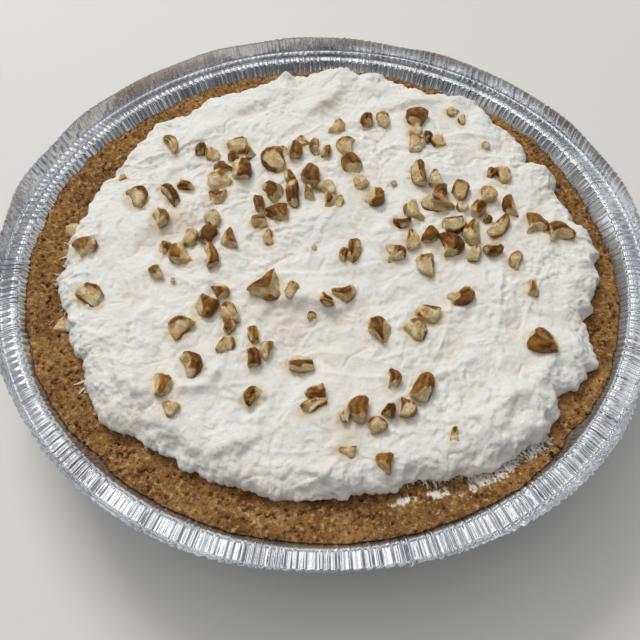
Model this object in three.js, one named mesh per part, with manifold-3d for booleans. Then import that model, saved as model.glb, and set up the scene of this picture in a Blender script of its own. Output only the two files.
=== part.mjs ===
// A pecan cream pie in its own crimped foil tin: a crumb crust, a thick layer of whipped
// cream and chopped pecans strewn over it.
// Units are millimetres. +Z is up, -Y is the front, and the origin is the middle of the
// tin's flat underside.
import * as THREE from "three";
import { mergeVertices } from "three/addons/utils/BufferGeometryUtils.js";
import Module from "manifold-3d";

const wasm = await Module();
wasm.setup();

const DEGREE = Math.PI / 180;
const FULL_TURN = 2 * Math.PI;
const GAP = 0.35; // clearance between touching pieces

// Foil tin. Its opening is 8.5 inches across, as in a standard 9 inch foil pie tin.
const OPENING_RADIUS = 108;
const WALL_HEIGHT = 31;
const WALL_SLOPE = 55 * DEGREE;
const BASE_RADIUS = OPENING_RADIUS - WALL_HEIGHT / Math.tan(WALL_SLOPE);
const BASE_CORNER = 1.6;
const LEDGE_WIDTH = 6;
const LEDGE_DROP = 0.8;
const LIP_LENGTH = 7.2;
const LIP_WAVE = 0.5;
const FOIL = 0.6;
const PLEATS = 84;
const PLEAT_DEPTH = 0.8;
// The lip's lean at every 15 degrees, counted from +X: 90 stands upright, less leans out.
const LIP_LEAN = [
  92, 83, 86, 94, 92, 95, 86, 77, 80, 82, 67, 64,
  89, 77, 89, 86, 78, 77, 85, 77, 70, 73, 92, 80,
];

// Crumb crust, pressed into the tin up to a little below the tin's opening. Its outer rim
// stands higher than its top at the cream. The rim's height at every 15 degrees from +X.
const CRUST_SEGMENTS = 96;
const CRUST_RIM = [
  26.6, 26.1, 27.2, 26.5, 26.5, 27, 27, 27, 27.3, 26.9, 28.1, 28.7,
  28.5, 28.6, 28.9, 29.2, 28.9, 28.9, 29.1, 29.6, 29.7, 28.9, 28.7, 27.8,
];
// Places where the rim has crumbled away: angle and half width in degrees, and depth.
const CRUST_NOTCHES = [
  [229, 3.6, 2.6],
  [316, 3, 2],
];
const CRUST_TOP = 26.8;
const CRUST_ROUNDING = 0.9;
const CRUST_CRAG = 0.8;
const CRUST_TO_FOIL = 1.3;
const SEAT_HEIGHT = 24; // where the cream rests inside the crust's rim
const SEAT_INSET = 5.5;

// Whipped cream. Its edge at every 15 degrees, counted from +X.
const CREAM_EDGE = [
  96.5, 92, 93, 98, 97, 97, 98, 94, 91.5, 91, 90.5, 90.5,
  91.5, 93, 94, 95, 94, 94, 93.5, 93.5, 97.5, 99, 98, 95.5,
];
const CREAM_SEGMENTS = 68;
const CREAM_RINGS = [0.98, 0.94, 0.87, 0.78, 0.68, 0.57, 0.45, 0.32, 0.17]; // shares of the edge
const CREAM_TOP = 34.3;
const CREAM_BULGE = 29.6; // height of the widest part of the edge
const CREAM_FOOT = CRUST_TOP + 0.6;
const CREAM_ROLL = 4; // how quickly the top rolls over towards the edge
const CREAM_EDGE_WAVE = 0.9;
// Spatula strokes: from x, y to x, y, bow to the left, half width and height. The right
// hand side of each stroke is its steep one.
const CREAM_STROKES = [
  [-13, -26.5, 7, -32, 1, 4.5, 1.9],
  [-54, 46, -36, 62, 1.5, 4, 1.5],
  [-38, 65, -21, 77, 0.5, 4, 1.4],
  [-8, 66, 10, 84, -1.5, 4, 1.9],
  [10, 84, 28, 80, 1, 4, 1.6],
  [23, 67, 53, 75, 1.5, 3.5, 1.6],
  [-48, -56, -33, -55, -5.5, 3, 1.2],
  [-49, -69, -20, -75, -8.5, 3.5, 1.6],
  [-66, -52, -54, -66, -1, 4, 1.3],
  [48, -76, 62, -62, 1, 3.5, 1.2],
  [-66, 4, -48, 14, 1, 5, 1.2],
  [-14, 2, 14, 6, 2, 6, 1.1],
];
// Soft hollows left by the back of the spatula: x, y, radius and depth.
const CREAM_HOLLOWS = [
  [-12, -39, 13, 1.6],
  [-58, 24, 18, 0.7],
  [22, -20, 20, 0.6],
  [55, -30, 22, 0.7],
  [15, 70, 16, 0.8],
];

// Chopped pecans: x, y, heading in degrees, length, width, height, the side where the
// pale broken face is, and how dark the skin is from 0 to 1.
const PECANS = [
  // back left
  [-60, 47, 118, 11, 5, 5, "up", 0.2],
  [-47.6, 44.5, 80, 7, 4.5, 6, "none", 0.95],
  [-42.8, 41.8, 115, 9.5, 5, 5, "up", 0.3],
  [-38.3, 34.5, 125, 7, 5.5, 5, "none", 0.8],
  [-33.5, 47, 15, 10, 7, 6, "up", 0.4],
  [-29, 42, 100, 6.5, 4.5, 5.5, "right", 0.9],
  [-34.8, 39.8, 30, 5, 4, 5, "none", 0.6],
  [-31.8, 32.3, 97, 13, 8, 7.5, "left", 0.7],
  [-39, 27.6, 140, 11, 9, 6, "up", 0.3],
  [-39.5, 20.2, 15, 8.5, 5.5, 5, "front", 0.45],
  [-69.5, 19, 115, 10.5, 8, 6, "up", 0.85],
  [-52.2, 26.2, 150, 7.5, 5.5, 5.5, "back", 0.5],
  [-56.8, 19.8, 122, 13, 5, 5.5, "none", 0.85],
  [-59.5, 7.8, 110, 9, 6, 5, "left", 0.35],
  [-40.2, 7.6, 150, 7.5, 7, 6, "up", 0.5],
  [-47.6, 0.3, 78, 8.5, 4.8, 5, "up", 0.3],
  [-40.6, 0, 60, 8.5, 6.5, 6.5, "none", 0.8],
  [-33.3, -2, 105, 10.5, 6, 5.5, "left", 0.45],
  [-91.5, 6.5, 160, 8, 6, 5, "up", 0.3],
  // back middle
  [-17.8, 38.5, 95, 14, 8, 7.5, "up", 0.85],
  [-11, 42.3, 85, 10, 6, 6.5, "none", 0.6],
  [-7.2, 48.6, 118, 6.5, 3.5, 4, "up", 0.5],
  [-2.4, 44.8, 95, 9.5, 4, 6, "front", 0.5],
  [1.6, 43, 75, 7.5, 4.5, 5.5, "left", 0.9],
  [6.2, 58, 65, 9, 5.5, 5, "up", 0.4],
  [10.3, 45.8, 80, 11.5, 6, 5.5, "up", 0.5],
  [11.7, 35.6, 115, 12, 7.5, 6.5, "front", 0.65],
  [14.4, 26, 80, 7, 6.3, 5.5, "up", 0.45],
  [-4, 29, 85, 12.5, 8, 7, "none", 0.6],
  [-5, 20.4, 95, 8, 4, 5, "front", 0.55],
  [-12.8, 29.6, 110, 8, 4.5, 5, "left", 0.7],
  [-10.9, 19.8, 93, 13.5, 5, 6.5, "none", 0.9],
  [2, 22.4, 130, 9, 7, 5.5, "up", 0.3],
  [2.3, 15.8, 85, 7.5, 5, 6, "right", 0.65],
  [6.3, 15.5, 70, 7, 3, 4.5, "up", 0.3],
  [19, 18.8, 60, 9, 7, 6.5, "left", 0.55],
  [-19, 21, 120, 11.5, 6.5, 6, "right", 0.8],
  [-23.6, 14.8, 105, 9, 5, 6, "none", 0.5],
  [-14.8, 10.6, 95, 9, 5.5, 6, "none", 0.6],
  [-23, 6, 15, 6.5, 5.5, 5.5, "front", 0.5],
  [-18.6, 10, 150, 7, 5.5, 6, "none", 0.8],
  [-19.3, -1, 100, 7, 4, 4, "up", 0.25],
  // back right
  [18.8, 61.3, 75, 8, 5.5, 6, "none", 0.75],
  [25.2, 61.3, 110, 8.5, 6, 5, "up", 0.3],
  [39, 62.3, 65, 10.5, 8, 7, "none", 0.75],
  [38, 55, 60, 7, 5, 4.5, "up", 0.25],
  [41.6, 50.2, 70, 6.5, 4, 6, "none", 0.6],
  [37.2, 46, 80, 9, 6.5, 6, "up", 0.55],
  [47, 48.5, 100, 8, 5, 4.5, "up", 0.3],
  [65, 46, 0, 4, 3.5, 3, "up", 0.2],
  [54.5, 67.5, 140, 5, 4, 3, "up", 0.2],
  [57.8, 61.5, 90, 6.5, 3.5, 3, "up", 0.15],
  [37, 29.5, 93, 13, 5.5, 7, "left", 0.6],
  [43.4, 27, 95, 9, 6, 6, "up", 0.35],
  [43.5, 16.2, 105, 12.5, 10, 8, "left", 0.9],
  [51.8, 20.4, 70, 10, 6, 7, "up", 0.85],
  [51.4, 12.4, 120, 5, 4, 5, "up", 0.3],
  [48, 4.8, 20, 10.5, 7, 6.5, "up", 0.85],
  [61, 18, 70, 9.5, 6.5, 7, "up", 0.45],
  [57, 11.2, 45, 8, 6, 7, "none", 0.6],
  [54, 1, 70, 11.5, 7.5, 7, "right", 0.55],
  [63.4, 3.4, 48, 13.5, 5.5, 6, "up", 0.6],
  [69, 12.8, 100, 10, 5.5, 6, "right", 0.85],
  [76.3, 4.3, 85, 10.5, 7, 6, "front", 0.5],
  [84.6, -0.4, 12, 11, 7.5, 6.5, "front", 0.6],
  [69.2, 29, 90, 9.5, 5.5, 5.5, "up", 0.4],
  [65, 31, 60, 5, 3.5, 4.5, "none", 0.5],
  [28.5, 6.3, 155, 7, 5, 5.5, "back", 0.8],
  [33.6, 12, 100, 11, 5.5, 5.5, "up", 0.45],
  [31.6, -2, 85, 11, 5.5, 5, "up", 0.35],
  [38.4, -0.5, 60, 8, 6, 6.5, "none", 0.6],
  [44.4, -4.8, 100, 12, 7.5, 6.5, "none", 0.85],
  // front left
  [-56.5, -4, 75, 7, 4.5, 4.5, "left", 0.4],
  [-85, -5, 130, 8.5, 7, 6, "none", 0.6],
  [-49.8, -7.6, 125, 11.5, 6.5, 6, "right", 0.55],
  [-57, -16.6, 130, 7.5, 5, 4.5, "right", 0.4],
  [-39.5, -9.4, 108, 13, 5, 6, "left", 0.6],
  [-79, -25.6, 145, 12, 6.5, 5.5, "up", 0.75],
  [-88.8, -33, 75, 6.5, 4.5, 4, "up", 0.3],
  [-35, -25, 105, 8, 6, 6.5, "back", 0.55],
  [-39.2, -30.6, 60, 9, 7.5, 6.5, "left", 0.75],
  [-30.8, -33.4, 120, 9.5, 6.5, 5.5, "up", 0.4],
  [-31, -39, 80, 6, 4.5, 5, "none", 0.6],
  [-31.6, -45.4, 70, 7.5, 4.5, 4.5, "up", 0.5],
  [-46, -38.8, 40, 10, 7, 5.5, "up", 0.7],
  [-42, -53, 110, 9.5, 6.3, 6.5, "left", 0.85],
  [-49.8, -59.8, 110, 9, 7, 6, "left", 0.55],
  [-46, -67.8, 20, 6, 5.3, 4.5, "up", 0.4],
  [-19.3, -22.8, 30, 13, 11, 8.5, "right", 0.7],
  [-11, -24.6, 70, 8, 4, 5, "up", 0.4],
  [-22.7, -41.6, 105, 7.5, 4.5, 6, "none", 0.6],
  [-23, -49.6, 105, 9.5, 4.8, 6.5, "none", 0.55],
  [-18.4, -47.4, 80, 8, 4, 5.5, "up", 0.4],
  [-7.5, -51.9, 165, 10.3, 6.5, 6, "back", 0.55],
  [-21.5, -63.4, 40, 7.5, 5, 5, "right", 0.8],
  // front right
  [10.4, -7.6, 80, 10.5, 5, 6, "none", 0.5],
  [7, -9.4, 70, 6, 3, 5, "none", 0.45],
  [24.6, -8.5, 95, 9.3, 6.5, 6, "front", 0.5],
  [6.8, -26, 18, 9.5, 6, 5.5, "front", 0.6],
  [0.6, -29, 140, 7, 3, 4.5, "left", 0.6],
  [-4, -34, 20, 3.5, 2.8, 2.5, "up", 0.5],
  [18.2, -40.4, 100, 10.5, 8.5, 7, "right", 0.6],
  [29.4, -40.8, 120, 8, 7, 6, "up", 0.5],
  [34.8, -34, 168, 9.7, 6, 5.5, "up", 0.65],
  [36, -13.6, 80, 10.5, 6.2, 5.5, "up", 0.5],
  [53, -8.9, 70, 8, 4.6, 5, "up", 0.4],
  [59.4, -6.8, 40, 7.5, 6, 6, "back", 0.75],
  [67, -12.7, 72, 8.5, 5, 5, "up", 0.3],
  [45.8, -26.3, 18, 10.7, 6, 6, "left", 0.6],
  [70.8, -23.6, 80, 8.5, 4.3, 5, "right", 0.6],
  [70, -44.8, 150, 11.5, 9, 7, "none", 0.5],
  [-2.6, -62.4, 20, 7, 4.5, 6, "none", 0.8],
  [-2.8, -66.6, 25, 9.5, 4.6, 5, "up", 0.6],
  [10.5, -68.7, 80, 9, 5.2, 6, "none", 0.5],
  [6.4, -70.4, 70, 5.5, 3.6, 5, "up", 0.4],
  [15.4, -74, 30, 6, 5.3, 4.5, "up", 0.4],
  [21, -58.8, 80, 7.5, 4.3, 5, "front", 0.5],
  [30, -61.2, 63, 12, 6.5, 6, "none", 0.5],
  [19.2, -68.8, 60, 5.5, 4.3, 5.5, "none", 0.9],
  [24.2, -68.2, 75, 7, 5, 5.5, "up", 0.6],
  [6.5, -81.3, 168, 6.7, 4.3, 4, "up", 0.45],
  [17.5, -84.5, 70, 6.7, 5, 5, "none", 0.5],
  [38, -76.6, 80, 6.3, 2.8, 3, "up", 0.4],
];
const PECAN_RISE = 0.18; // height of a pecan's middle above the cream, over its own height
const PECAN_CLEARANCE = 0.45;
// Length times width of a pecan as large as a berry, which is a node of its own, and of
// the smallest one that is made at all.
const OWN_NODE_FOOTPRINT = 66;
const SMALLEST_FOOTPRINT = 22;
const BLUNTNESS = 2.5; // exponent of the uncut form, where 2 is an ellipsoid
const END_CUT = 0.82;
const CORNER_CUT = 0.84;
const BROKEN_CUT = 0.58;
const BROKEN_SIDES = {
  up: [0.05, -0.3, 0.95],
  front: [0, -0.85, 0.52],
  left: [-0.8, -0.1, 0.6],
  right: [0.8, -0.1, 0.6],
  back: [0, 0.72, 0.7],
};

// A repeatable number from 0 to 1 for a pair of whole numbers.
function random(first, second) {
  const value = Math.sin(first * 12.9898 + second * 78.233) * 43758.5453;
  return value - Math.floor(value);
}

// A smooth closed curve through values at equal steps round the pie.
function aroundPie(values, angle) {
  const count = values.length;
  const place = (((angle / FULL_TURN) % 1) + 1) % 1 * count;
  const index = Math.floor(place);
  const t = place - index;
  const [a, b, c, d] = [-1, 0, 1, 2].map((step) => values[(index + step + count) % count]);
  return b + 0.5 * t * (c - a + t * (2 * a - 5 * b + 4 * c - d + t * (3 * (b - c) + d - a)));
}

// A gentle irregular wave round the pie, from about -1 to 1.
function waveAround(angle, seed) {
  const waves = [5, 8, 13, 21];
  let sum = 0;
  for (const count of waves) {
    sum += Math.sin(count * angle + FULL_TURN * random(seed, count)) / 2.4;
  }
  return sum;
}

function wallRadius(height) {
  return BASE_RADIUS + height / Math.tan(WALL_SLOPE);
}

function creamEdge(angle) {
  return aroundPie(CREAM_EDGE, angle) + CREAM_EDGE_WAVE * waveAround(angle, 3);
}

function strokeHeight([startX, startY, endX, endY, bow, halfWidth, height], x, y) {
  const chord = Math.hypot(endX - startX, endY - startY);
  const alongX = (endX - startX) / chord;
  const alongY = (endY - startY) / chord;
  const along = ((x - startX) * alongX + (y - startY) * alongY) / chord;
  const left = (y - startY) * alongX - (x - startX) * alongY;
  const bend = 4 * bow * along * (1 - along);
  const slope = (4 * bow * (1 - 2 * along)) / chord;
  const offset = (left - bend) / Math.hypot(1, slope) / halfWidth;
  const steepness = offset < 0 ? 1.7 : 0.75;
  const ends = 1 / (1 + Math.pow(Math.abs(2 * along - 1), 8));
  return height * Math.exp(-((offset * steepness) ** 2)) * ends;
}

function creamRelief(x, y) {
  let relief = 0;
  for (const stroke of CREAM_STROKES) {
    relief += strokeHeight(stroke, x, y);
  }
  for (const [middleX, middleY, radius, depth] of CREAM_HOLLOWS) {
    relief -= depth * Math.exp(-(((x - middleX) ** 2 + (y - middleY) ** 2) / radius ** 2));
  }
  return relief + 0.35 * Math.sin(x / 9 + Math.sin(y / 13)) * Math.cos(y / 11);
}

function creamHeight(x, y) {
  const inside = Math.max(0, creamEdge(Math.atan2(y, x)) - Math.hypot(x, y));
  const rise = 1 - Math.exp(-inside / CREAM_ROLL);
  return CREAM_BULGE + (CREAM_TOP - CREAM_BULGE + creamRelief(x, y)) * rise;
}

// A ring of points at the given angles; place(angle, index) gives each one's radius and height.
function ring(count, place) {
  const points = [];
  for (let index = 0; index < count; index += 1) {
    const angle = (FULL_TURN * index) / count;
    const [radius, height] = place(angle, index);
    points.push([radius * Math.cos(angle), radius * Math.sin(angle), height]);
  }
  return points;
}

// A closed body through rings of equally many points, closed at both ends by a middle point.
function ringBody(firstMiddle, rings, lastMiddle) {
  const count = rings[0].length;
  const points = [firstMiddle, ...rings.flat(), lastMiddle];
  const last = points.length - 1;
  const triangles = [];
  for (let index = 0; index < count; index += 1) {
    const next = (index + 1) % count;
    triangles.push(0, 1 + next, 1 + index);
    for (let row = 0; row < rings.length - 1; row += 1) {
      const here = 1 + row * count;
      const above = here + count;
      triangles.push(here + index, here + next, above + next);
      triangles.push(here + index, above + next, above + index);
    }
    const top = 1 + (rings.length - 1) * count;
    triangles.push(top + index, top + next, last);
  }
  const geometry = new THREE.BufferGeometry();
  geometry.setAttribute("position", new THREE.Float32BufferAttribute(points.flat(), 3));
  geometry.setIndex(triangles);
  return geometry;
}

function solidFrom(geometry) {
  const merged = mergeVertices(geometry, 1e-4);
  const mesh = new wasm.Mesh({
    numProp: 3,
    vertProperties: new Float32Array(merged.attributes.position.array),
    triVerts: new Uint32Array(merged.index.array),
  });
  return new wasm.Manifold(mesh);
}

// The largest connected body of a solid, as geometry: cutting can leave small scraps.
function geometryFrom(solid) {
  const mesh = solid.getMesh();
  const whole = new THREE.BufferGeometry();
  whole.setAttribute("position", new THREE.BufferAttribute(mesh.vertProperties.slice(), 3));
  whole.setIndex([...mesh.triVerts]);
  const merged = mergeVertices(whole, 1e-4);
  const corners = [...merged.index.array];
  const leader = Array.from({ length: merged.attributes.position.count }, (_, index) => index);
  const find = (index) => {
    let top = index;
    while (leader[top] !== top) {
      top = leader[top];
    }
    return top;
  };
  for (let corner = 0; corner < corners.length; corner += 3) {
    leader[find(corners[corner + 1])] = find(corners[corner]);
    leader[find(corners[corner + 2])] = find(corners[corner]);
  }
  const sizes = new Map();
  for (const corner of corners) {
    sizes.set(find(corner), (sizes.get(find(corner)) ?? 0) + 1);
  }
  const largest = [...sizes].reduce((best, entry) => (entry[1] > best[1] ? entry : best))[0];
  const kept = corners.filter((corner) => find(corner) === largest);
  merged.setIndex(kept);
  return mergeVertices(merged.toNonIndexed(), 1e-4);
}

// The foil's section at one angle: radius, height and how strongly the pleats show there.
function foilSection(angle) {
  const lean = aroundPie(LIP_LEAN, angle) * DEGREE;
  const length = LIP_LENGTH + LIP_WAVE * waveAround(angle, 11);
  const ledgeRadius = OPENING_RADIUS + LEDGE_WIDTH;
  const ledgeHeight = WALL_HEIGHT - LEDGE_DROP;
  return [
    [BASE_RADIUS - BASE_CORNER, FOIL / 2, 0],
    [wallRadius(BASE_CORNER), BASE_CORNER, 0.5],
    [OPENING_RADIUS, WALL_HEIGHT, 1],
    [ledgeRadius, ledgeHeight, 0.6],
    [ledgeRadius + length * Math.cos(lean), ledgeHeight + length * Math.sin(lean), 1],
  ];
}

// Outward direction across the foil at one row of its section.
function foilNormal(section, row) {
  if (row === 0) {
    return [0, -1];
  }
  const before = section[row - 1];
  const here = section[row];
  const after = section[Math.min(row + 1, section.length - 1)];
  const towards = [before, after].map((point, side) => {
    const run = (point[0] - here[0]) * (side * 2 - 1);
    const rise = (point[1] - here[1]) * (side * 2 - 1);
    const length = Math.hypot(run, rise) || 1;
    return [run / length, rise / length];
  });
  const run = towards[0][0] + towards[1][0];
  const rise = towards[0][1] + towards[1][1];
  const length = Math.hypot(run, rise);
  return [rise / length, -run / length];
}

function makeTin() {
  const rows = foilSection(0).length;
  const sheetRing = (row, side) => ring(2 * PLEATS, (angle, index) => {
    const section = foilSection(angle);
    const [outward, upward] = foilNormal(section, row);
    const [radius, height, pleat] = section[row];
    const fold = ((index % 2) - 0.5) * PLEAT_DEPTH * pleat;
    const shift = fold + (side * FOIL) / 2;
    return [radius + outward * shift, height + upward * shift];
  });
  const rings = [];
  for (let row = 0; row < rows; row += 1) {
    rings.push(sheetRing(row, 1));
  }
  for (let row = rows - 1; row >= 0; row -= 1) {
    rings.push(sheetRing(row, -1));
  }
  return ringBody([0, 0, 0], rings, [0, 0, FOIL]);
}

// Height of the crust's outer rim, with the places where it has crumbled away.
function crustRim(angle) {
  let height = aroundPie(CRUST_RIM, angle);
  for (const [middle, halfWidth, depth] of CRUST_NOTCHES) {
    const offset = (angle / DEGREE - middle) / halfWidth;
    height -= depth * Math.exp(-(offset ** 2));
  }
  return height;
}

function makeCrust() {
  const bottom = FOIL + GAP;
  const outside = (height) => wallRadius(height) - CRUST_TO_FOIL;
  const across = (angle, share) => {
    const inner = creamEdge(angle) + 1.5;
    return inner + (outside(crustRim(angle)) - inner) * share;
  };
  const craggyRing = (share, row) => ring(CRUST_SEGMENTS, (angle, index) => {
    const crag = CRUST_CRAG * (2 * random(index, row) - 1);
    const height = CRUST_TOP + (crustRim(angle) - CRUST_TOP) * Math.sqrt(share);
    return [across(angle, share + 0.1 * (random(index, row + 10) - 0.5)), height + crag];
  });
  const rings = [
    ring(CRUST_SEGMENTS, () => [BASE_RADIUS - 2 * BASE_CORNER, bottom]),
    ring(CRUST_SEGMENTS, () => [outside(2 * BASE_CORNER), 2 * BASE_CORNER]),
    ring(CRUST_SEGMENTS, (angle) => {
      const height = crustRim(angle) - CRUST_ROUNDING;
      return [outside(height), height];
    }),
    craggyRing(0.86, 1),
    craggyRing(0.45, 2),
    ring(CRUST_SEGMENTS, (angle, index) => [across(angle, 0), CRUST_TOP - random(index, 3) / 2]),
    ring(CRUST_SEGMENTS, (angle) => [creamEdge(angle) - SEAT_INSET + 1, CRUST_TOP - 0.2]),
    ring(CRUST_SEGMENTS, (angle) => [creamEdge(angle) - SEAT_INSET, SEAT_HEIGHT]),
  ];
  return ringBody([0, 0, bottom], rings, [0, 0, SEAT_HEIGHT]);
}

function makeCream() {
  const bottom = SEAT_HEIGHT + GAP;
  const insetRing = (inset, height) => ring(CREAM_SEGMENTS, (angle) => [
    creamEdge(angle) - inset, height,
  ]);
  const rings = [
    insetRing(SEAT_INSET + GAP + 0.6, bottom),
    insetRing(SEAT_INSET + GAP - 0.4, CREAM_FOOT),
    insetRing(1.4, CREAM_FOOT),
    insetRing(0, CREAM_BULGE),
  ];
  for (const share of CREAM_RINGS) {
    rings.push(ring(CREAM_SEGMENTS, (angle) => {
      const radius = creamEdge(angle) * share;
      return [radius, creamHeight(radius * Math.cos(angle), radius * Math.sin(angle))];
    }));
  }
  return ringBody([0, 0, bottom], rings, [0, 0, creamHeight(0, 0)]);
}

// A chopped pecan is a blunt long body cut by flat broken faces. Each cut is a direction
// in the pecan's own frame and its distance from the middle.
function pecanCuts(index, [, , heading, length, width, height, side]) {
  const half = [length / 2, width / 2, height / 2];
  const cut = (direction, share) => {
    const size = Math.hypot(...direction);
    const normal = direction.map((value) => value / size);
    const reach = Math.hypot(...normal.map((value, axis) => value * half[axis]));
    return { normal, distance: reach * share };
  };
  const draw = (number) => random(index + 1, number) * 2 - 1;
  const cuts = [
    cut([1, 0.6 * draw(1), 0.5 * draw(2)], END_CUT),
    cut([-1, 0.6 * draw(3), 0.5 * draw(4)], END_CUT),
    cut([draw(5), draw(6), 0.6], CORNER_CUT),
  ];
  if (side !== "none") {
    const [worldX, worldY, worldZ] = BROKEN_SIDES[side];
    const turn = -heading * DEGREE;
    const localX = worldX * Math.cos(turn) - worldY * Math.sin(turn);
    const localY = worldX * Math.sin(turn) + worldY * Math.cos(turn);
    cuts.push(cut([localX, localY, worldZ], BROKEN_CUT));
  }
  return cuts;
}

function pecanReach(direction, half, cuts) {
  const blunt = direction.reduce(
    (sum, value, axis) => sum + Math.abs(value / half[axis]) ** BLUNTNESS, 0);
  let reach = blunt ** (-1 / BLUNTNESS);
  for (const { normal, distance } of cuts) {
    const facing = normal.reduce((sum, value, axis) => sum + value * direction[axis], 0);
    if (facing > 0) {
      reach = Math.min(reach, distance / facing);
    }
  }
  return reach;
}

// One pecan's body, grown on all sides by the given clearance.
function makePecan(index, groundHeight, segments, latitudes, clearance) {
  const pecan = PECANS[index];
  const [x, y, heading, length, width, height] = pecan;
  const half = [length / 2, width / 2, height / 2];
  const cuts = pecanCuts(index, pecan);
  const middle = groundHeight + height * PECAN_RISE;
  const cosine = Math.cos(heading * DEGREE);
  const sine = Math.sin(heading * DEGREE);
  const place = (longitude, latitude) => {
    const direction = [
      half[0] * Math.cos(latitude) * Math.cos(longitude),
      half[1] * Math.cos(latitude) * Math.sin(longitude),
      half[2] * Math.sin(latitude),
    ];
    const size = Math.hypot(...direction);
    const unit = direction.map((value) => value / size);
    const reach = pecanReach(unit, half, cuts) + clearance;
    const [localX, localY, localZ] = unit.map((value) => value * reach);
    return [
      x + localX * cosine - localY * sine,
      y + localX * sine + localY * cosine,
      middle + localZ,
    ];
  };
  const rings = latitudes.map((latitude) => Array.from({ length: segments }, (_, step) => (
    place((FULL_TURN * step) / segments, latitude * DEGREE))));
  return ringBody(place(0, -90 * DEGREE), rings, place(0, 90 * DEGREE));
}

function largePecan(index, ground, clearance) {
  return solidFrom(makePecan(index, ground, 8, [-50, 5, 52], clearance));
}

function smallPecan(index, ground) {
  return solidFrom(makePecan(index, ground, 5, [-25, 40], 0));
}

function pecanColour(shade) {
  const golden = new THREE.Color(0xb98a50);
  const dark = new THREE.Color(0x5a3418);
  return golden.lerp(dark, shade);
}

// Lays every pecan on the cream or, past the cream's edge, on the crust. The large ones
// become solids of their own in hollows of the cream, and the small ones join what they lie on.
function layPecans(bareCrust, bareCream) {
  let crust = bareCrust;
  let cream = bareCream;
  const large = [];
  const hollows = [];
  PECANS.forEach(([x, y, , length, width, , , shade], index) => {
    const onCream = Math.hypot(x, y) < creamEdge(Math.atan2(y, x));
    const ground = onCream ? creamHeight(x, y) : CRUST_TOP;
    const footprint = length * width;
    if (footprint >= OWN_NODE_FOOTPRINT) {
      const whole = largePecan(index, ground, 0);
      const solid = hollows.reduce((rest, hollow) => rest.subtract(hollow), whole);
      large.push({ solid, shade });
      hollows.push(largePecan(index, ground, PECAN_CLEARANCE));
    } else if (footprint >= SMALLEST_FOOTPRINT && onCream) {
      cream = cream.add(smallPecan(index, ground));
    } else if (footprint >= SMALLEST_FOOTPRINT) {
      crust = crust.add(smallPecan(index, ground));
    }
  });
  cream = hollows.reduce((rest, hollow) => rest.subtract(hollow), cream);
  return { crust, cream, large };
}

function buildPie() {
  const group = new THREE.Group();
  const add = (name, geometry, color, roughness, metalness) => {
    geometry.deleteAttribute("normal");
    geometry.computeVertexNormals();
    const material = new THREE.MeshStandardMaterial({ color, roughness, metalness });
    const mesh = new THREE.Mesh(geometry, material);
    mesh.name = name;
    group.add(mesh);
  };
  const { crust, cream, large } = layPecans(solidFrom(makeCrust()), solidFrom(makeCream()));
  add("foil_tin", makeTin(), 0xc4c6ca, 0.3, 1);
  add("crumb_crust", geometryFrom(crust), 0x8f6438, 0.95, 0);
  add("whipped_cream", geometryFrom(cream), 0xece7dc, 0.6, 0);
  large.forEach(({ solid, shade }, index) => {
    const number = String(index + 1).padStart(2, "0");
    add(`pecan_${number}`, geometryFrom(solid), pecanColour(shade), 0.55, 0);
  });
  return group;
}

export default buildPie();
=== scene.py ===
"""Looks of a pecan cream pie in its own crimped foil tin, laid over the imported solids.

Sizes are millimetres until a mesh is made. +Z is up and -Y is the front, as in the solids.
"""

import itertools
import math

import bmesh
import bpy
import numpy as np
from mathutils import Matrix, Vector
from mathutils.bvhtree import BVHTree


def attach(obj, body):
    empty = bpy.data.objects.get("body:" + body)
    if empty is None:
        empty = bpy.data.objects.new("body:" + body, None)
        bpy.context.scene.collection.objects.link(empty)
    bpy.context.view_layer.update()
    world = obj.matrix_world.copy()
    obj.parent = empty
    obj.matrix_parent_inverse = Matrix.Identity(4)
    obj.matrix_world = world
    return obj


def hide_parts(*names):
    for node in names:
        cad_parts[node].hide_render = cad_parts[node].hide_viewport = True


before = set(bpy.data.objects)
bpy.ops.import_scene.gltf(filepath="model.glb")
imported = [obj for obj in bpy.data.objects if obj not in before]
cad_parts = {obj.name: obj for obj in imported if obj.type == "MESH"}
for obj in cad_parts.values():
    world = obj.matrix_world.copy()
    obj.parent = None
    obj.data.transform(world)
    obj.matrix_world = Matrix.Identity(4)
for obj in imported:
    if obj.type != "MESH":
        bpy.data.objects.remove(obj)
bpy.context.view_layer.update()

MM = 0.001
FULL_TURN = 2 * math.pi
# Further than any distance that is compared with it.
FAR = 99.0

# ---------------------------------------------------------------- sizes shared with the solids

OPENING_RADIUS = 108.0
WALL_HEIGHT = 31.0
WALL_SLOPE = math.radians(55)
BASE_RADIUS = OPENING_RADIUS - WALL_HEIGHT / math.tan(WALL_SLOPE)
LEDGE_WIDTH = 6.0
LEDGE_DROP = 0.8
LIP_LENGTH = 7.2
LIP_WAVE = 0.5
# The lip's lean at every 15 degrees, counted from +X: 90 stands upright, less leans out.
LIP_LEAN = [
    92, 83, 86, 94, 92, 95, 86, 77, 80, 82, 67, 64,
    89, 77, 89, 86, 78, 77, 85, 77, 70, 73, 92, 80,
]

CRUST_BOTTOM = 0.95
# The height of the crust's outer rim at every 15 degrees, counted from +X.
CRUST_RIM = [
    26.6, 26.1, 27.2, 26.5, 26.5, 27, 27, 27, 27.3, 26.9, 28.1, 28.7,
    28.5, 28.6, 28.9, 29.2, 28.9, 28.9, 29.1, 29.6, 29.7, 28.9, 28.7, 27.8,
]
# Places where the rim has crumbled away: angle and half width in degrees, and depth.
CRUST_NOTCHES = [
    (229, 3.6, 2.6),
    (316, 3, 2),
]
CRUST_TOP = 26.8
CRUST_ROUNDING = 0.45
RIM_TO_FOIL = 0.35
CRUST_TO_FOIL = 1.3
SEAT_HEIGHT = 24.0
SEAT_INSET = 5.5

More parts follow.
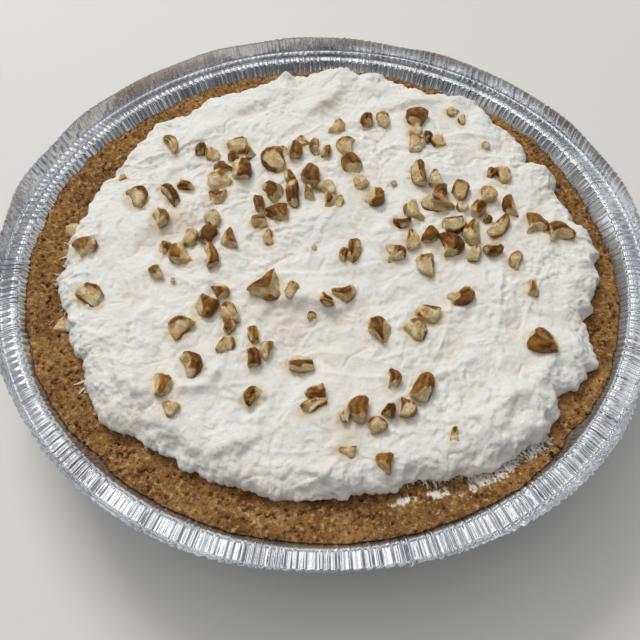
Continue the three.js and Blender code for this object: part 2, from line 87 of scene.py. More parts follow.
# The cream's edge at every 15 degrees, counted from +X.
CREAM_EDGE = [
    96.5, 92, 93, 98, 97, 97, 98, 94, 91.5, 91, 90.5, 90.5,
    91.5, 93, 94, 95, 94, 94, 93.5, 93.5, 97.5, 99, 98, 95.5,
]
CREAM_BOTTOM = SEAT_HEIGHT + 0.35
CREAM_TOP = 34.3
CREAM_BULGE = 29.6
CREAM_FOOT = CRUST_TOP + 0.6
CREAM_ROLL = 4.0
CREAM_EDGE_WAVE = 0.9
# Spatula strokes: from x, y to x, y, bow to the left, half width and height.
CREAM_STROKES = [
    (-13, -26.5, 7, -32, 1, 4.5, 1.9),
    (-54, 46, -36, 62, 1.5, 4, 1.5),
    (-38, 65, -21, 77, 0.5, 4, 1.4),
    (-8, 66, 10, 84, -1.5, 4, 1.9),
    (10, 84, 28, 80, 1, 4, 1.6),
    (23, 67, 53, 75, 1.5, 3.5, 1.6),
    (-48, -56, -33, -55, -5.5, 3, 1.2),
    (-49, -69, -20, -75, -8.5, 3.5, 1.6),
    (-66, -52, -54, -66, -1, 4, 1.3),
    (48, -76, 62, -62, 1, 3.5, 1.2),
    (-66, 4, -48, 14, 1, 5, 1.2),
    (-14, 2, 14, 6, 2, 6, 1.1),
]
CREAM_HOLLOWS = [
    (-12, -39, 13, 1.6),
    (-58, 24, 18, 0.7),
    (22, -20, 20, 0.6),
    (55, -30, 22, 0.7),
    (15, 70, 16, 0.8),
]

# Chopped pecans: x, y, heading in degrees, length, width, height, the side where the pale
# broken face is, and how dark the skin is from 0 to 1.
PECANS = [
    # back left
    (-60, 47, 118, 11, 5, 5, "up", 0.2),
    (-47.6, 44.5, 80, 7, 4.5, 6, "none", 0.95),
    (-42.8, 41.8, 115, 9.5, 5, 5, "up", 0.3),
    (-38.3, 34.5, 125, 7, 5.5, 5, "none", 0.8),
    (-33.5, 47, 15, 10, 7, 6, "up", 0.4),
    (-29, 42, 100, 6.5, 4.5, 5.5, "right", 0.9),
    (-34.8, 39.8, 30, 5, 4, 5, "none", 0.6),
    (-31.8, 32.3, 97, 13, 8, 7.5, "left", 0.7),
    (-39, 27.6, 140, 11, 9, 6, "up", 0.3),
    (-39.5, 20.2, 15, 8.5, 5.5, 5, "front", 0.45),
    (-69.5, 19, 115, 10.5, 8, 6, "up", 0.85),
    (-52.2, 26.2, 150, 7.5, 5.5, 5.5, "back", 0.5),
    (-56.8, 19.8, 122, 13, 5, 5.5, "none", 0.85),
    (-59.5, 7.8, 110, 9, 6, 5, "left", 0.35),
    (-40.2, 7.6, 150, 7.5, 7, 6, "up", 0.5),
    (-47.6, 0.3, 78, 8.5, 4.8, 5, "up", 0.3),
    (-40.6, 0, 60, 8.5, 6.5, 6.5, "none", 0.8),
    (-33.3, -2, 105, 10.5, 6, 5.5, "left", 0.45),
    (-91.5, 6.5, 160, 8, 6, 5, "up", 0.3),
    # back middle
    (-17.8, 38.5, 95, 14, 8, 7.5, "up", 0.85),
    (-11, 42.3, 85, 10, 6, 6.5, "none", 0.6),
    (-7.2, 48.6, 118, 6.5, 3.5, 4, "up", 0.5),
    (-2.4, 44.8, 95, 9.5, 4, 6, "front", 0.5),
    (1.6, 43, 75, 7.5, 4.5, 5.5, "left", 0.9),
    (6.2, 58, 65, 9, 5.5, 5, "up", 0.4),
    (10.3, 45.8, 80, 11.5, 6, 5.5, "up", 0.5),
    (11.7, 35.6, 115, 12, 7.5, 6.5, "front", 0.65),
    (14.4, 26, 80, 7, 6.3, 5.5, "up", 0.45),
    (-4, 29, 85, 12.5, 8, 7, "none", 0.6),
    (-5, 20.4, 95, 8, 4, 5, "front", 0.55),
    (-12.8, 29.6, 110, 8, 4.5, 5, "left", 0.7),
    (-10.9, 19.8, 93, 13.5, 5, 6.5, "none", 0.9),
    (2, 22.4, 130, 9, 7, 5.5, "up", 0.3),
    (2.3, 15.8, 85, 7.5, 5, 6, "right", 0.65),
    (6.3, 15.5, 70, 7, 3, 4.5, "up", 0.3),
    (19, 18.8, 60, 9, 7, 6.5, "left", 0.55),
    (-19, 21, 120, 11.5, 6.5, 6, "right", 0.8),
    (-23.6, 14.8, 105, 9, 5, 6, "none", 0.5),
    (-14.8, 10.6, 95, 9, 5.5, 6, "none", 0.6),
    (-23, 6, 15, 6.5, 5.5, 5.5, "front", 0.5),
    (-18.6, 10, 150, 7, 5.5, 6, "none", 0.8),
    (-19.3, -1, 100, 7, 4, 4, "up", 0.25),
    # back right
    (18.8, 61.3, 75, 8, 5.5, 6, "none", 0.75),
    (25.2, 61.3, 110, 8.5, 6, 5, "up", 0.3),
    (39, 62.3, 65, 10.5, 8, 7, "none", 0.75),
    (38, 55, 60, 7, 5, 4.5, "up", 0.25),
    (41.6, 50.2, 70, 6.5, 4, 6, "none", 0.6),
    (37.2, 46, 80, 9, 6.5, 6, "up", 0.55),
    (47, 48.5, 100, 8, 5, 4.5, "up", 0.3),
    (65, 46, 0, 4, 3.5, 3, "up", 0.2),
    (54.5, 67.5, 140, 5, 4, 3, "up", 0.2),
    (57.8, 61.5, 90, 6.5, 3.5, 3, "up", 0.15),
    (37, 29.5, 93, 13, 5.5, 7, "left", 0.6),
    (43.4, 27, 95, 9, 6, 6, "up", 0.35),
    (43.5, 16.2, 105, 12.5, 10, 8, "left", 0.9),
    (51.8, 20.4, 70, 10, 6, 7, "up", 0.85),
    (51.4, 12.4, 120, 5, 4, 5, "up", 0.3),
    (48, 4.8, 20, 10.5, 7, 6.5, "up", 0.85),
    (61, 18, 70, 9.5, 6.5, 7, "up", 0.45),
    (57, 11.2, 45, 8, 6, 7, "none", 0.6),
    (54, 1, 70, 11.5, 7.5, 7, "right", 0.55),
    (63.4, 3.4, 48, 13.5, 5.5, 6, "up", 0.6),
    (69, 12.8, 100, 10, 5.5, 6, "right", 0.85),
    (76.3, 4.3, 85, 10.5, 7, 6, "front", 0.5),
    (84.6, -0.4, 12, 11, 7.5, 6.5, "front", 0.6),
    (69.2, 29, 90, 9.5, 5.5, 5.5, "up", 0.4),
    (65, 31, 60, 5, 3.5, 4.5, "none", 0.5),
    (28.5, 6.3, 155, 7, 5, 5.5, "back", 0.8),
    (33.6, 12, 100, 11, 5.5, 5.5, "up", 0.45),
    (31.6, -2, 85, 11, 5.5, 5, "up", 0.35),
    (38.4, -0.5, 60, 8, 6, 6.5, "none", 0.6),
    (44.4, -4.8, 100, 12, 7.5, 6.5, "none", 0.85),
    # front left
    (-56.5, -4, 75, 7, 4.5, 4.5, "left", 0.4),
    (-85, -5, 130, 8.5, 7, 6, "none", 0.6),
    (-49.8, -7.6, 125, 11.5, 6.5, 6, "right", 0.55),
    (-57, -16.6, 130, 7.5, 5, 4.5, "right", 0.4),
    (-39.5, -9.4, 108, 13, 5, 6, "left", 0.6),
    (-79, -25.6, 145, 12, 6.5, 5.5, "up", 0.75),
    (-88.8, -33, 75, 6.5, 4.5, 4, "up", 0.3),
    (-35, -25, 105, 8, 6, 6.5, "back", 0.55),
    (-39.2, -30.6, 60, 9, 7.5, 6.5, "left", 0.75),
    (-30.8, -33.4, 120, 9.5, 6.5, 5.5, "up", 0.4),
    (-31, -39, 80, 6, 4.5, 5, "none", 0.6),
    (-31.6, -45.4, 70, 7.5, 4.5, 4.5, "up", 0.5),
    (-46, -38.8, 40, 10, 7, 5.5, "up", 0.7),
    (-42, -53, 110, 9.5, 6.3, 6.5, "left", 0.85),
    (-49.8, -59.8, 110, 9, 7, 6, "left", 0.55),
    (-46, -67.8, 20, 6, 5.3, 4.5, "up", 0.4),
    (-19.3, -22.8, 30, 13, 11, 8.5, "right", 0.7),
    (-11, -24.6, 70, 8, 4, 5, "up", 0.4),
    (-22.7, -41.6, 105, 7.5, 4.5, 6, "none", 0.6),
    (-23, -49.6, 105, 9.5, 4.8, 6.5, "none", 0.55),
    (-18.4, -47.4, 80, 8, 4, 5.5, "up", 0.4),
    (-7.5, -51.9, 165, 10.3, 6.5, 6, "back", 0.55),
    (-21.5, -63.4, 40, 7.5, 5, 5, "right", 0.8),
    # front right
    (10.4, -7.6, 80, 10.5, 5, 6, "none", 0.5),
    (7, -9.4, 70, 6, 3, 5, "none", 0.45),
    (24.6, -8.5, 95, 9.3, 6.5, 6, "front", 0.5),
    (6.8, -26, 18, 9.5, 6, 5.5, "front", 0.6),
    (0.6, -29, 140, 7, 3, 4.5, "left", 0.6),
    (-4, -34, 20, 3.5, 2.8, 2.5, "up", 0.5),
    (18.2, -40.4, 100, 10.5, 8.5, 7, "right", 0.6),
    (29.4, -40.8, 120, 8, 7, 6, "up", 0.5),
    (34.8, -34, 168, 9.7, 6, 5.5, "up", 0.65),
    (36, -13.6, 80, 10.5, 6.2, 5.5, "up", 0.5),
    (53, -8.9, 70, 8, 4.6, 5, "up", 0.4),
    (59.4, -6.8, 40, 7.5, 6, 6, "back", 0.75),
    (67, -12.7, 72, 8.5, 5, 5, "up", 0.3),
    (45.8, -26.3, 18, 10.7, 6, 6, "left", 0.6),
    (70.8, -23.6, 80, 8.5, 4.3, 5, "right", 0.6),
    (70, -44.8, 150, 11.5, 9, 7, "none", 0.5),
    (-2.6, -62.4, 20, 7, 4.5, 6, "none", 0.8),
    (-2.8, -66.6, 25, 9.5, 4.6, 5, "up", 0.6),
    (10.5, -68.7, 80, 9, 5.2, 6, "none", 0.5),
    (6.4, -70.4, 70, 5.5, 3.6, 5, "up", 0.4),
    (15.4, -74, 30, 6, 5.3, 4.5, "up", 0.4),
    (21, -58.8, 80, 7.5, 4.3, 5, "front", 0.5),
    (30, -61.2, 63, 12, 6.5, 6, "none", 0.5),
    (19.2, -68.8, 60, 5.5, 4.3, 5.5, "none", 0.9),
    (24.2, -68.2, 75, 7, 5, 5.5, "up", 0.6),
    (6.5, -81.3, 168, 6.7, 4.3, 4, "up", 0.45),
    (17.5, -84.5, 70, 6.7, 5, 5, "none", 0.5),
    (38, -76.6, 80, 6.3, 2.8, 3, "up", 0.4),
    # tiny chips, half sunk in the cream, which the solids leave out
    (-76.5, 30, 20, 4, 2.6, 2, "up", 0.2),
    (27.2, 26, 60, 3, 2.4, 2, "up", 0.2),
    (-3.5, -5.5, 100, 3, 2.2, 2, "up", 0.2),
    (-51.7, -19.5, 10, 2.5, 1.8, 1.8, "up", 0.3),
    (-37.5, -54.8, 40, 2.5, 2, 1.8, "up", 0.2),
    (-15, 43, 100, 7, 2.5, 2.5, "up", 0.3),
    (59.7, 7, 70, 4, 3, 3.5, "none", 0.9),
]
# How much larger the pecans are than in the solids, along, across and upwards.
PECAN_GROWTH = np.array([1.09, 1.09, 0.95])
PECAN_RISE = 0.18
BLUNTNESS = 2.5
END_CUT = 0.82
CORNER_CUT = 0.84
BROKEN_CUT = 0.58
# How many extra broken faces there are on a pecan less dark than this.
CHIP_COUNTS = [(0.5, 6), (0.75, 3), (1.0, 1)]
BITES = 4
BROKEN_SIDES = {
    "up": (0.05, -0.3, 0.95),
    "front": (0, -0.85, 0.52),
    "left": (-0.8, -0.1, 0.6),
    "right": (0.8, -0.1, 0.6),
    "back": (0, 0.72, 0.7),
}

# ---------------------------------------------------------------- sizes of the fine detail

FOIL_PLEATS = 280
COLUMNS_PER_PLEAT = 12
PLEAT_SHARPNESS = 2.2
FOIL_THICKNESS = 0.14
# The radius where the tin's wall ends and its bead begins.
WALL_END = 107.5
# The side where the ledge's pleats are shallowest.
CALM_SIDE = math.radians(150)
# Radii at which noise is laid round the pie, on the tin, the cream's edge and the smears.
TIN_NOISE_RADIUS = 110.0
EDGE_NOISE_RADIUS = 95.0
SMEAR_NOISE_RADIUS = 97.0

# Finer spatula strokes on top of those of the solids, in the same form.
FINE_STROKES = [
    (-17, -27, 1, -30.5, 1, 3.6, 1.1),
    (-16, 84, -12, 77, 0.3, 1.5, 0.9),
    (-43, -77, -26, -79, -4, 2.2, 1.0),
    (-27, -84, -19, -76, 0.5, 1.5, 0.8),
    (-14, -82, -10, -66, 0.5, 2, 0.5),
    (-62, -52, -58, -62, 0.5, 1.5, 0.9),
    (-64, -66, -54, -62, 0.8, 1.6, 1.0),
    (-58, -72, -50, -71, 0.8, 1.6, 1.0),
    (-9, -87, 1, -89, 0.5, 1.2, 1.0),
    (0, -87.5, 5, -84, 0.4, 1.2, 0.9),
    (22, -84, 30, -83, 0.5, 1.3, 0.9),
    (36, -88, 41, -86, 0.4, 1.2, 0.9),
    (44, -70, 48, -76, 0.4, 1.2, 0.8),
    (50, -39, 55, -53, 2.5, 1.5, 0.6),
    (45, -46, 51, -50, 0.5, 1.2, 0.6),
    (57, -40, 64, -49, 0.6, 1.5, 0.6),
    (20, 40, 31, 47, 0.6, 1.2, 0.6),
    (50, 50.5, 62, 50, 3, 1, 0.5),
    (41, -33, 47, -33, 0.3, 1.2, 0.5),
    (-88, -17, -80, -16, 0.4, 1.2, 0.6),
    (-78, -45, -69, -42, 0.6, 1.2, 0.7),
    (-70, -50, -62, -53, 0.6, 1.2, 0.7),
    (-68, -17, -64, -30, 0.8, 1.4, 0.6),
    (25, -63, 34, -72, -2, 1.5, 1.0),
    (48, -72, 60, -62, 0.5, 2, 0.8),
    (-30, -60, -16, -63, -2, 1.6, 0.7),
    (-60, 33, -50, 38, 1, 2, 0.8),
    (66, -62, 74, -50, 1, 2, 0.9),
]
# Hollows on top of those of the solids, in the same form.
DEEP_HOLLOWS = [
    (-7, -48, 13, 2.2),
    (-50, -2, 10, 2.2),
    (-62, -4, 6, 1.2),
    (-30, -12, 8, 0.6),
    (24, 30, 9, 0.6),
    (-20, -82, 6, 0.8),
    (6, 67, 7, 1.2),
    (10, -80, 6, 1.2),
    (18, 12, 8, 0.8),
]
# Painted shade in the cream's colour, in its darker dips and beside some pecans: x, y, radius and strength.
PAINTED_CREAM_SHADE = [
    (-54, 7, 7, 0.75),
    (-61, 3, 4, 0.6),
    (-12, -39, 9, 0.35),
    (3.5, 72, 5, 0.5),
    (7, -75, 5, 0.6),
    (-47, -62, 4, 0.5),
    (16, 19, 6, 0.4),
    (-46, -9, 5, 0.4),
]
SPATULA_MARKS = 120
SPATULA_REACH = 96
CREAM_RINGS = 195
CREAM_EDGE_DENSITY = 0.3

# Notches and lobes of the cream's edge: angle and half width in degrees, and depth inwards.
CREAM_NIBBLES = [
    (5, 3, 1.2), (20.5, 2.8, -3.2), (26, 1.3, 2.4), (33, 3, -2.2), (40.5, 2, 2.6),
    (51, 3.5, -2.8), (57.5, 2, -2.2), (76, 3, -2.6), (85, 3.2, -3.2), (94, 1.6, 1),
    (99.5, 1.3, -3), (108, 2.5, 0.8), (121, 2.6, -1.8), (128, 2, 0.6), (136.5, 3, -2.6),
    (144.5, 3.5, -1.8), (157, 1.3, 2.6), (170, 2, 1), (186, 1.5, 1.2), (212, 3.2, 2.4),
    (225, 5, -0.9), (231.5, 1.4, 1.2), (240.5, 2.6, 2.9), (246.5, 1.6, 1.1), (256, 3, 0.5),
    (276, 2.2, 1.8), (283, 1.5, -0.4), (294, 4, 0.9), (303, 4, -0.9), (311, 2.5, -1.1),
    (319.5, 2.5, 4.3), (325, 1.4, 0.9), (330.5, 2.8, -1.8), (338.5, 1.8, 2.6), (342, 1, -0.8),
    (349.5, 4, -2), (356.2, 1.6, -2.8),
]
# Lumps heaped up near the edge: angle in degrees, distance from the middle, radius, height.
CREAM_HEAPS = [
    (52, 94, 4, 2.6), (85, 94, 5, 2.4), (76, 93, 4, 1.6), (99.5, 93.5, 2.2, 2.4),
    (137, 89, 4, 1.8), (22, 91, 4, 1.6), (351, 92, 5, 1.2), (331, 94, 4, 1.2),
    (222, 89, 5, 1.2), (253, 87, 6, 1.0), (304, 90, 6, 1.0), (270, 88, 5, 0.8),
]


# ---------------------------------------------------------------- repeatable numbers and noise


def scatter(first, second):
    """A repeatable number from 0 to 1 for a pair of whole numbers."""
    value = np.sin(first * 12.9898 + second * 78.233) * 43758.5453
    return value - np.floor(value)


def draws(index, first, count):
    """A few repeatable numbers from 0 to 1 that belong to one whole number."""
    return [float(scatter(index, first + step)) for step in range(count)]


def polar(radius, angle, height):
    """Points from their radius, angle and height, as rows of x, y and z."""
    return np.stack(np.broadcast_arrays(radius * np.cos(angle), radius * np.sin(angle), height), -1)


def turned(x, y, angle):
    """x and y, turned anticlockwise by an angle."""
    return x * math.cos(angle) - y * math.sin(angle), x * math.sin(angle) + y * math.cos(angle)


def lattice(cells, seed):
    """A repeatable whole number of 32 bits for each cell, given as rows of three whole numbers."""
    mixed = cells @ np.array([374761393, 668265263, 1440670441]) + seed * 1274126177
    mixed &= 0xFFFFFFFF
    mixed = ((mixed ^ (mixed >> 13)) * 1103515245) & 0xFFFFFFFF
    mixed = ((mixed ^ (mixed >> 15)) * 1274126177) & 0xFFFFFFFF
    return mixed ^ (mixed >> 16)


def spiral_directions(count):
    """Directions spread evenly over a sphere."""
    index = np.arange(count) + 0.5
    height = 1 - 2 * index / count
    angle = index * math.pi * (3 - math.sqrt(5))
    return polar(np.sqrt(1 - height**2), angle, height)


GRADIENTS = spiral_directions(64)


def noise(points, size, seed):
    """Smooth noise from about -1 to 1, whose features are about size across."""
    scaled = np.asarray(points, float) / size
    cells = np.floor(scaled).astype(np.int64)
    local = scaled - cells
    fade = local**3 * (local * (local * 6 - 15) + 10)
    total = np.zeros(len(scaled))
    for corner in itertools.product((0, 1), repeat=3):
        step = np.array(corner)
        gradient = GRADIENTS[lattice(cells + step, seed) & 63]
        weight = np.where(step, fade, 1 - fade).prod(1)
        total += weight * ((local - step) * gradient).sum(1)
    return total * 1.7


def layered(points, size, seed, layers=3):
    """Noise of several sizes, each half of the one before and half as strong."""
    total = sum(noise(points, size / 2**k, seed + k) / 2**k for k in range(layers))
    return total / (2 - 2 ** (1 - layers))


def nearest_seeds(points, size, seed):
    """For seeds strewn about size apart: distance to the nearest, how much further the next one
    is, both in millimetres, and a number from 0 to 1 that belongs to the nearest."""
    scaled = np.asarray(points, float) / size
    cells = np.floor(scaled).astype(np.int64)
    nearest = np.full(len(scaled), FAR)
    second = np.full(len(scaled), FAR)
    number = np.zeros(len(scaled))
    for corner in itertools.product((-1, 0, 1), repeat=3):
        there = cells + np.array(corner)
        drawn = lattice(there, seed)
        place = there + np.stack([(drawn >> shift) & 1023 for shift in (0, 10, 20)], 1) / 1023
        distance = np.linalg.norm(scaled - place, axis=1)
        closer = distance < nearest
        second = np.where(closer, nearest, np.minimum(second, distance))
        number = np.where(closer, (drawn & 0xFFFF) / 0xFFFF, number)
        nearest = np.where(closer, distance, nearest)
    return nearest * size, (second - nearest) * size, number


def smooth(low, high, value):
    """0 below low, 1 above high, and an even turn between them."""
    share = np.clip((value - low) / (high - low), 0, 1)
    return share * share * (3 - 2 * share)


def around_pie(values, angle):
    """A smooth closed curve through values at equal steps round the pie."""
    values = np.asarray(values, float)
    count = len(values)
    place = (np.asarray(angle) / FULL_TURN) % 1 * count
    index = np.floor(place).astype(int)
    t = place - index
    a, b, c, d = (values[(index + step) % count] for step in (-1, 0, 1, 2))
    return b + 0.5 * t * (c - a + t * (2 * a - 5 * b + 4 * c - d + t * (3 * (b - c) + d - a)))


def wave_around(angle, seed):
    """A gentle irregular wave round the pie, from about -1 to 1."""
    counts = (5, 8, 13, 21)
    return sum(np.sin(n * angle + FULL_TURN * scatter(seed, n)) / 2.4 for n in counts)


# ---------------------------------------------------------------- forms shared with the solids


def degrees_from(angle, middle):
    """How far an angle in radians is from a middle in degrees, in degrees either way."""
    return (np.degrees(angle) - middle + 180) % 360 - 180


def notched(values, angle, notches):
    """Values round the pie, lowered by notches with an angle, a half width and a depth."""
    for middle, half_width, depth in notches:
        values = values - depth * np.exp(-((degrees_from(angle, middle) / half_width) ** 2))
    return values


def mound(x, y, middle_x, middle_y, radius, height):
    """Height of a round mound with soft sides."""
    return height * np.exp(-((x - middle_x) ** 2 + (y - middle_y) ** 2) / radius**2)


def beside_line(x, y, start_x, start_y, end_x, end_y):
    """How far points are along a line and to the left of it, and how long the line is."""
    length = math.hypot(end_x - start_x, end_y - start_y)
    along_x = (end_x - start_x) / length
    along_y = (end_y - start_y) / length
    east, north = x - start_x, y - start_y
    return east * along_x + north * along_y, north * along_x - east * along_y, length


def wall_radius(height):
    return BASE_RADIUS + height / math.tan(WALL_SLOPE)


def cream_edge(angle):
    return around_pie(CREAM_EDGE, angle) + CREAM_EDGE_WAVE * wave_around(angle, 3)


def ragged_edge(angle):
    """The cream's edge with its notches, lobes and torn outline."""
    ring = polar(EDGE_NOISE_RADIUS, angle, 0.0).reshape(-1, 3)
    torn = 0.55 * noise(ring, 4.2, 31) + 0.5 * (0.3 - np.abs(noise(ring, 2.6, 32)))
    torn += 0.35 * noise(ring, 1.5, 33)
    return notched(cream_edge(angle), angle, CREAM_NIBBLES) + torn.reshape(np.shape(angle))


def crust_rim(angle):
    """Height of the crust's outer rim, with the places where it has crumbled away."""
    return notched(around_pie(CRUST_RIM, angle), angle, CRUST_NOTCHES)


def crust_outside(height):
    """The crust's outer radius, which comes closer to the foil near the rim."""
    return wall_radius(height) - CRUST_TO_FOIL + (CRUST_TO_FOIL - RIM_TO_FOIL) * smooth(18, 24, height)


def stroke_height(stroke, x, y):
    """Height of one spatula stroke, steep on the right of its line and gentle on the left."""
    *line, bow, half_width, height = stroke
    along, left, chord = beside_line(x, y, *line)
    along = along / chord
    bend = 4 * bow * along * (1 - along)
    slope = 4 * bow * (1 - 2 * along) / chord
    offset = (left - bend) / np.hypot(1, slope) / half_width
    steepness = np.where(offset < 0, 1.7, 0.75)
    ends = 1 / (1 + np.abs(2 * along - 1) ** 8)
    return height * np.exp(-((offset * steepness) ** 2)) * ends


def cream_relief(x, y):
    """Height of the cream's broad waves, strokes and hollows."""
    relief = 0.35 * np.sin(x / 9 + np.sin(y / 13)) * np.cos(y / 11)
    for stroke in CREAM_STROKES:
        relief = relief + stroke_height(stroke, x, y)
    for hollow in CREAM_HOLLOWS:
        relief = relief - mound(x, y, *hollow)
    return relief


def cream_rise(x, y):
    """0 at the cream's edge, 1 well inside it."""
    inside = np.maximum(0, cream_edge(np.arctan2(y, x)) - np.hypot(x, y))
    return 1 - np.exp(-inside / CREAM_ROLL)


def cream_height(x, y):
    return CREAM_BULGE + (CREAM_TOP - CREAM_BULGE + cream_relief(x, y)) * cream_rise(x, y)


# ---------------------------------------------------------------- meshes


def make_piece(name, material, points, faces, values):
    """A mesh object from points in millimetres and groups of faces, with values at each point
    for the material."""
    mesh = bpy.data.meshes.new(name)
    corners = np.concatenate([group.ravel() for group in faces])
    sizes = np.concatenate([np.full(len(group), group.shape[1]) for group in faces])
    mesh.vertices.add(len(points))
    mesh.vertices.foreach_set("co", (points * MM).astype(np.float32).ravel())
    mesh.loops.add(len(corners))
    mesh.loops.foreach_set("vertex_index", corners.astype(np.int32))
    mesh.polygons.add(len(sizes))
    mesh.polygons.foreach_set("loop_start", (np.cumsum(sizes) - sizes).astype(np.int32))
    mesh.update(calc_edges=True)
    mesh.polygons.foreach_set("use_smooth", np.ones(len(sizes), bool))
    for value_name, numbers in values.items():
        attribute = mesh.attributes.new(value_name, "FLOAT", "POINT")
        attribute.data.foreach_set("value", np.broadcast_to(numbers, len(points)).astype(np.float32))
    mesh.validate()
    piece = bpy.data.objects.new(name, mesh)
    bpy.context.scene.collection.objects.link(piece)
    mesh.materials.append(material)
    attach(piece, "root")
    return piece


def surface_normals(points, faces):
    """Outward direction at each point of a mesh, from its groups of faces."""
    total = np.zeros_like(points)
    for group in faces:
        place = [points[group[:, corner]] for corner in range(group.shape[1])]
        facing = np.cross(place[2] - place[0], place[-1] - place[1])
        for corner, axis in itertools.product(range(len(place)), range(3)):
            total[:, axis] += np.bincount(
                group[:, corner], weights=facing[:, axis], minlength=len(points))
    length = np.linalg.norm(total, axis=1, keepdims=True)
    return total / np.maximum(length, 1e-12)


def band_faces(rows):
    """Quads between rows of point numbers, where each row goes once round."""
    rows = np.asarray(rows)
    following = np.roll(rows, -1, axis=1)
    return np.stack([rows[:-1], following[:-1], following[1:], rows[1:]], -1).reshape(-1, 4)


def fan_faces(ring, middle):
    """Triangles from a ring of points to a middle point."""
    following = np.roll(ring, -1)
    return np.stack([ring, following, np.full(len(ring), middle)], 1)


def ring_body(rings, first_middle, last_middle):
    """Points and faces of a closed body through rings of points (rows, columns, 3), from the
    middle of the first ring to the middle of the last."""
    rows, columns = rings.shape[:2]
    count = rows * columns
    points = np.concatenate([rings.reshape(-1, 3), [first_middle, last_middle]])
    numbers = np.arange(count).reshape(rows, columns)
    bottom = fan_faces(numbers[0], count)[:, ::-1]
    top = fan_faces(numbers[-1], count + 1)
    return points, [band_faces(numbers), np.concatenate([bottom, top])]


# ---------------------------------------------------------------- materials


class Nodes:
    """Short names for building one node material. A colour is a code or another node's output."""

    def __init__(self, name):
        self.material = bpy.data.materials.new(name)
        self.material.use_nodes = True
        self.tree = self.material.node_tree
        self.position = self.add("ShaderNodeNewGeometry", {}, {}, "Position")

    def fill(self, node, inputs):
        """Sets each named input of a node to a value or a colour, or links it to an output."""
        for name, value in inputs.items():
            if isinstance(value, bpy.types.NodeSocket):
                self.tree.links.new(value, node.inputs[name])
            else:
                node.inputs[name].default_value = colour(value) if isinstance(value, str) else value

    def add(self, kind, settings, inputs, output):
        """A new node with its settings and inputs, given back as one of its outputs."""
        node = self.tree.nodes.new(kind)
        for name, setting in settings.items():
            setattr(node, name, setting)
        self.fill(node, inputs)
        return node.outputs[output]

    def value(self, name):
        return self.add("ShaderNodeAttribute", {"attribute_name": name}, {}, "Fac")

    def noise(self, scale, detail=3.0, roughness=0.55, distortion=0.0):
        return self.add("ShaderNodeTexNoise", {}, {
            "Scale": scale, "Detail": detail, "Roughness": roughness, "Distortion": distortion,
            "Vector": self.position}, "Fac")

    def math(self, operation, *values):
        return self.add("ShaderNodeMath", {"operation": operation}, dict(enumerate(values)), 0)

    def spread(self, value, low, high, to_low=0.0, to_high=1.0):
        """to_low where the value is below low, to_high above high, and an even turn between."""
        return self.add("ShaderNodeMapRange", {"interpolation_type": "SMOOTHSTEP"}, {
            "Value": value, "From Min": low, "From Max": high,
            "To Min": to_low, "To Max": to_high}, "Result")

    def mix(self, share, first, second):
        return self.add(
            "ShaderNodeMix", {"data_type": "RGBA"}, {"Factor": share, "A": first, "B": second}, "Result")

    def tinted(self, base, tint, field, low, high, most=1.0):
        """A base colour that turns to a tint as a field goes from low to high."""
        return self.mix(self.spread(field, low, high, 0.0, most), base, tint)

    def bump(self, height, strength, distance, normal=None):
        inputs = {"Strength": strength, "Distance": distance, "Height": height}
        if normal is not None:
            inputs["Normal"] = normal
        return self.add("ShaderNodeBump", {}, inputs, "Normal")

    def finish(self, inputs):
        """The material, with the inputs of its shader."""
        self.fill(self.tree.nodes["Principled BSDF"], inputs)
        return self.material


def colour(code):
    """A hexadecimal display colour as linear values."""
    parts = [int(code[i:i + 2], 16) / 255 for i in (1, 3, 5)]
    return (*((p / 12.92 if p <= 0.04045 else ((p + 0.055) / 1.055) ** 2.4) for p in parts), 1.0)


def foil_material():
    n = Nodes("bright_foil")
    cloudy = n.noise(60, 4)
    scuffs = n.noise(900, 3, 0.6)
    wear_and_groove_shade = n.math("ADD", n.math("MULTIPLY", cloudy, 0.6), n.math("MULTIPLY", scuffs, 0.4))
    grain = n.bump(n.noise(700, 3, 0.6), 0.25, 0.00012)
    return n.finish({
        "Base Color": n.tinted("#d3d5d9", "#eceef0", cloudy, 0.35, 0.7),
        "Metallic": 0.92,
        "Roughness": n.math(
            "ADD", n.spread(wear_and_groove_shade, 0.3, 0.75, 0.13, 0.28), n.math("MULTIPLY", n.value("lip"), 0.12)),
        "Normal": n.bump(n.noise(170, 3, 0.5, 0.6), 0.2, 0.0006, grain),
    })


def crumb_material():
    n = Nodes("baked_crumb")
    grains = n.noise(620, 4, 0.7)
    fine = n.noise(1500, 3, 0.65)
    brown = n.tinted("#764f28", "#a17745", n.noise(90, 4, 0.6), 0.3, 0.7)
    brown = n.tinted(brown, "#ceaa79", grains, 0.52, 0.68, 0.8)
    brown = n.tinted(brown, "#4f3016", grains, 0.47, 0.34, 0.85)
    brown = n.tinted(brown, "#cba97d", fine, 0.55, 0.75, 0.5)
    brown = n.tinted(brown, "#56371a", fine, 0.42, 0.28, 0.6)
    # Painted shade: pores and cracks turn nearly black brown.
    brown = n.mix(n.math("MULTIPLY", n.value("pore"), 0.85), brown, "#2a170a")
    return n.finish({
        "Base Color": n.mix(n.value("smear"), brown, "#e6e2d6"),
        "Specular IOR Level": 0.25,
        "Roughness": n.spread(fine, 0.3, 0.7, 0.95, 0.75),
        "Normal": n.bump(fine, 0.6, 0.0005, n.bump(grains, 0.6, 0.0009)),
    })


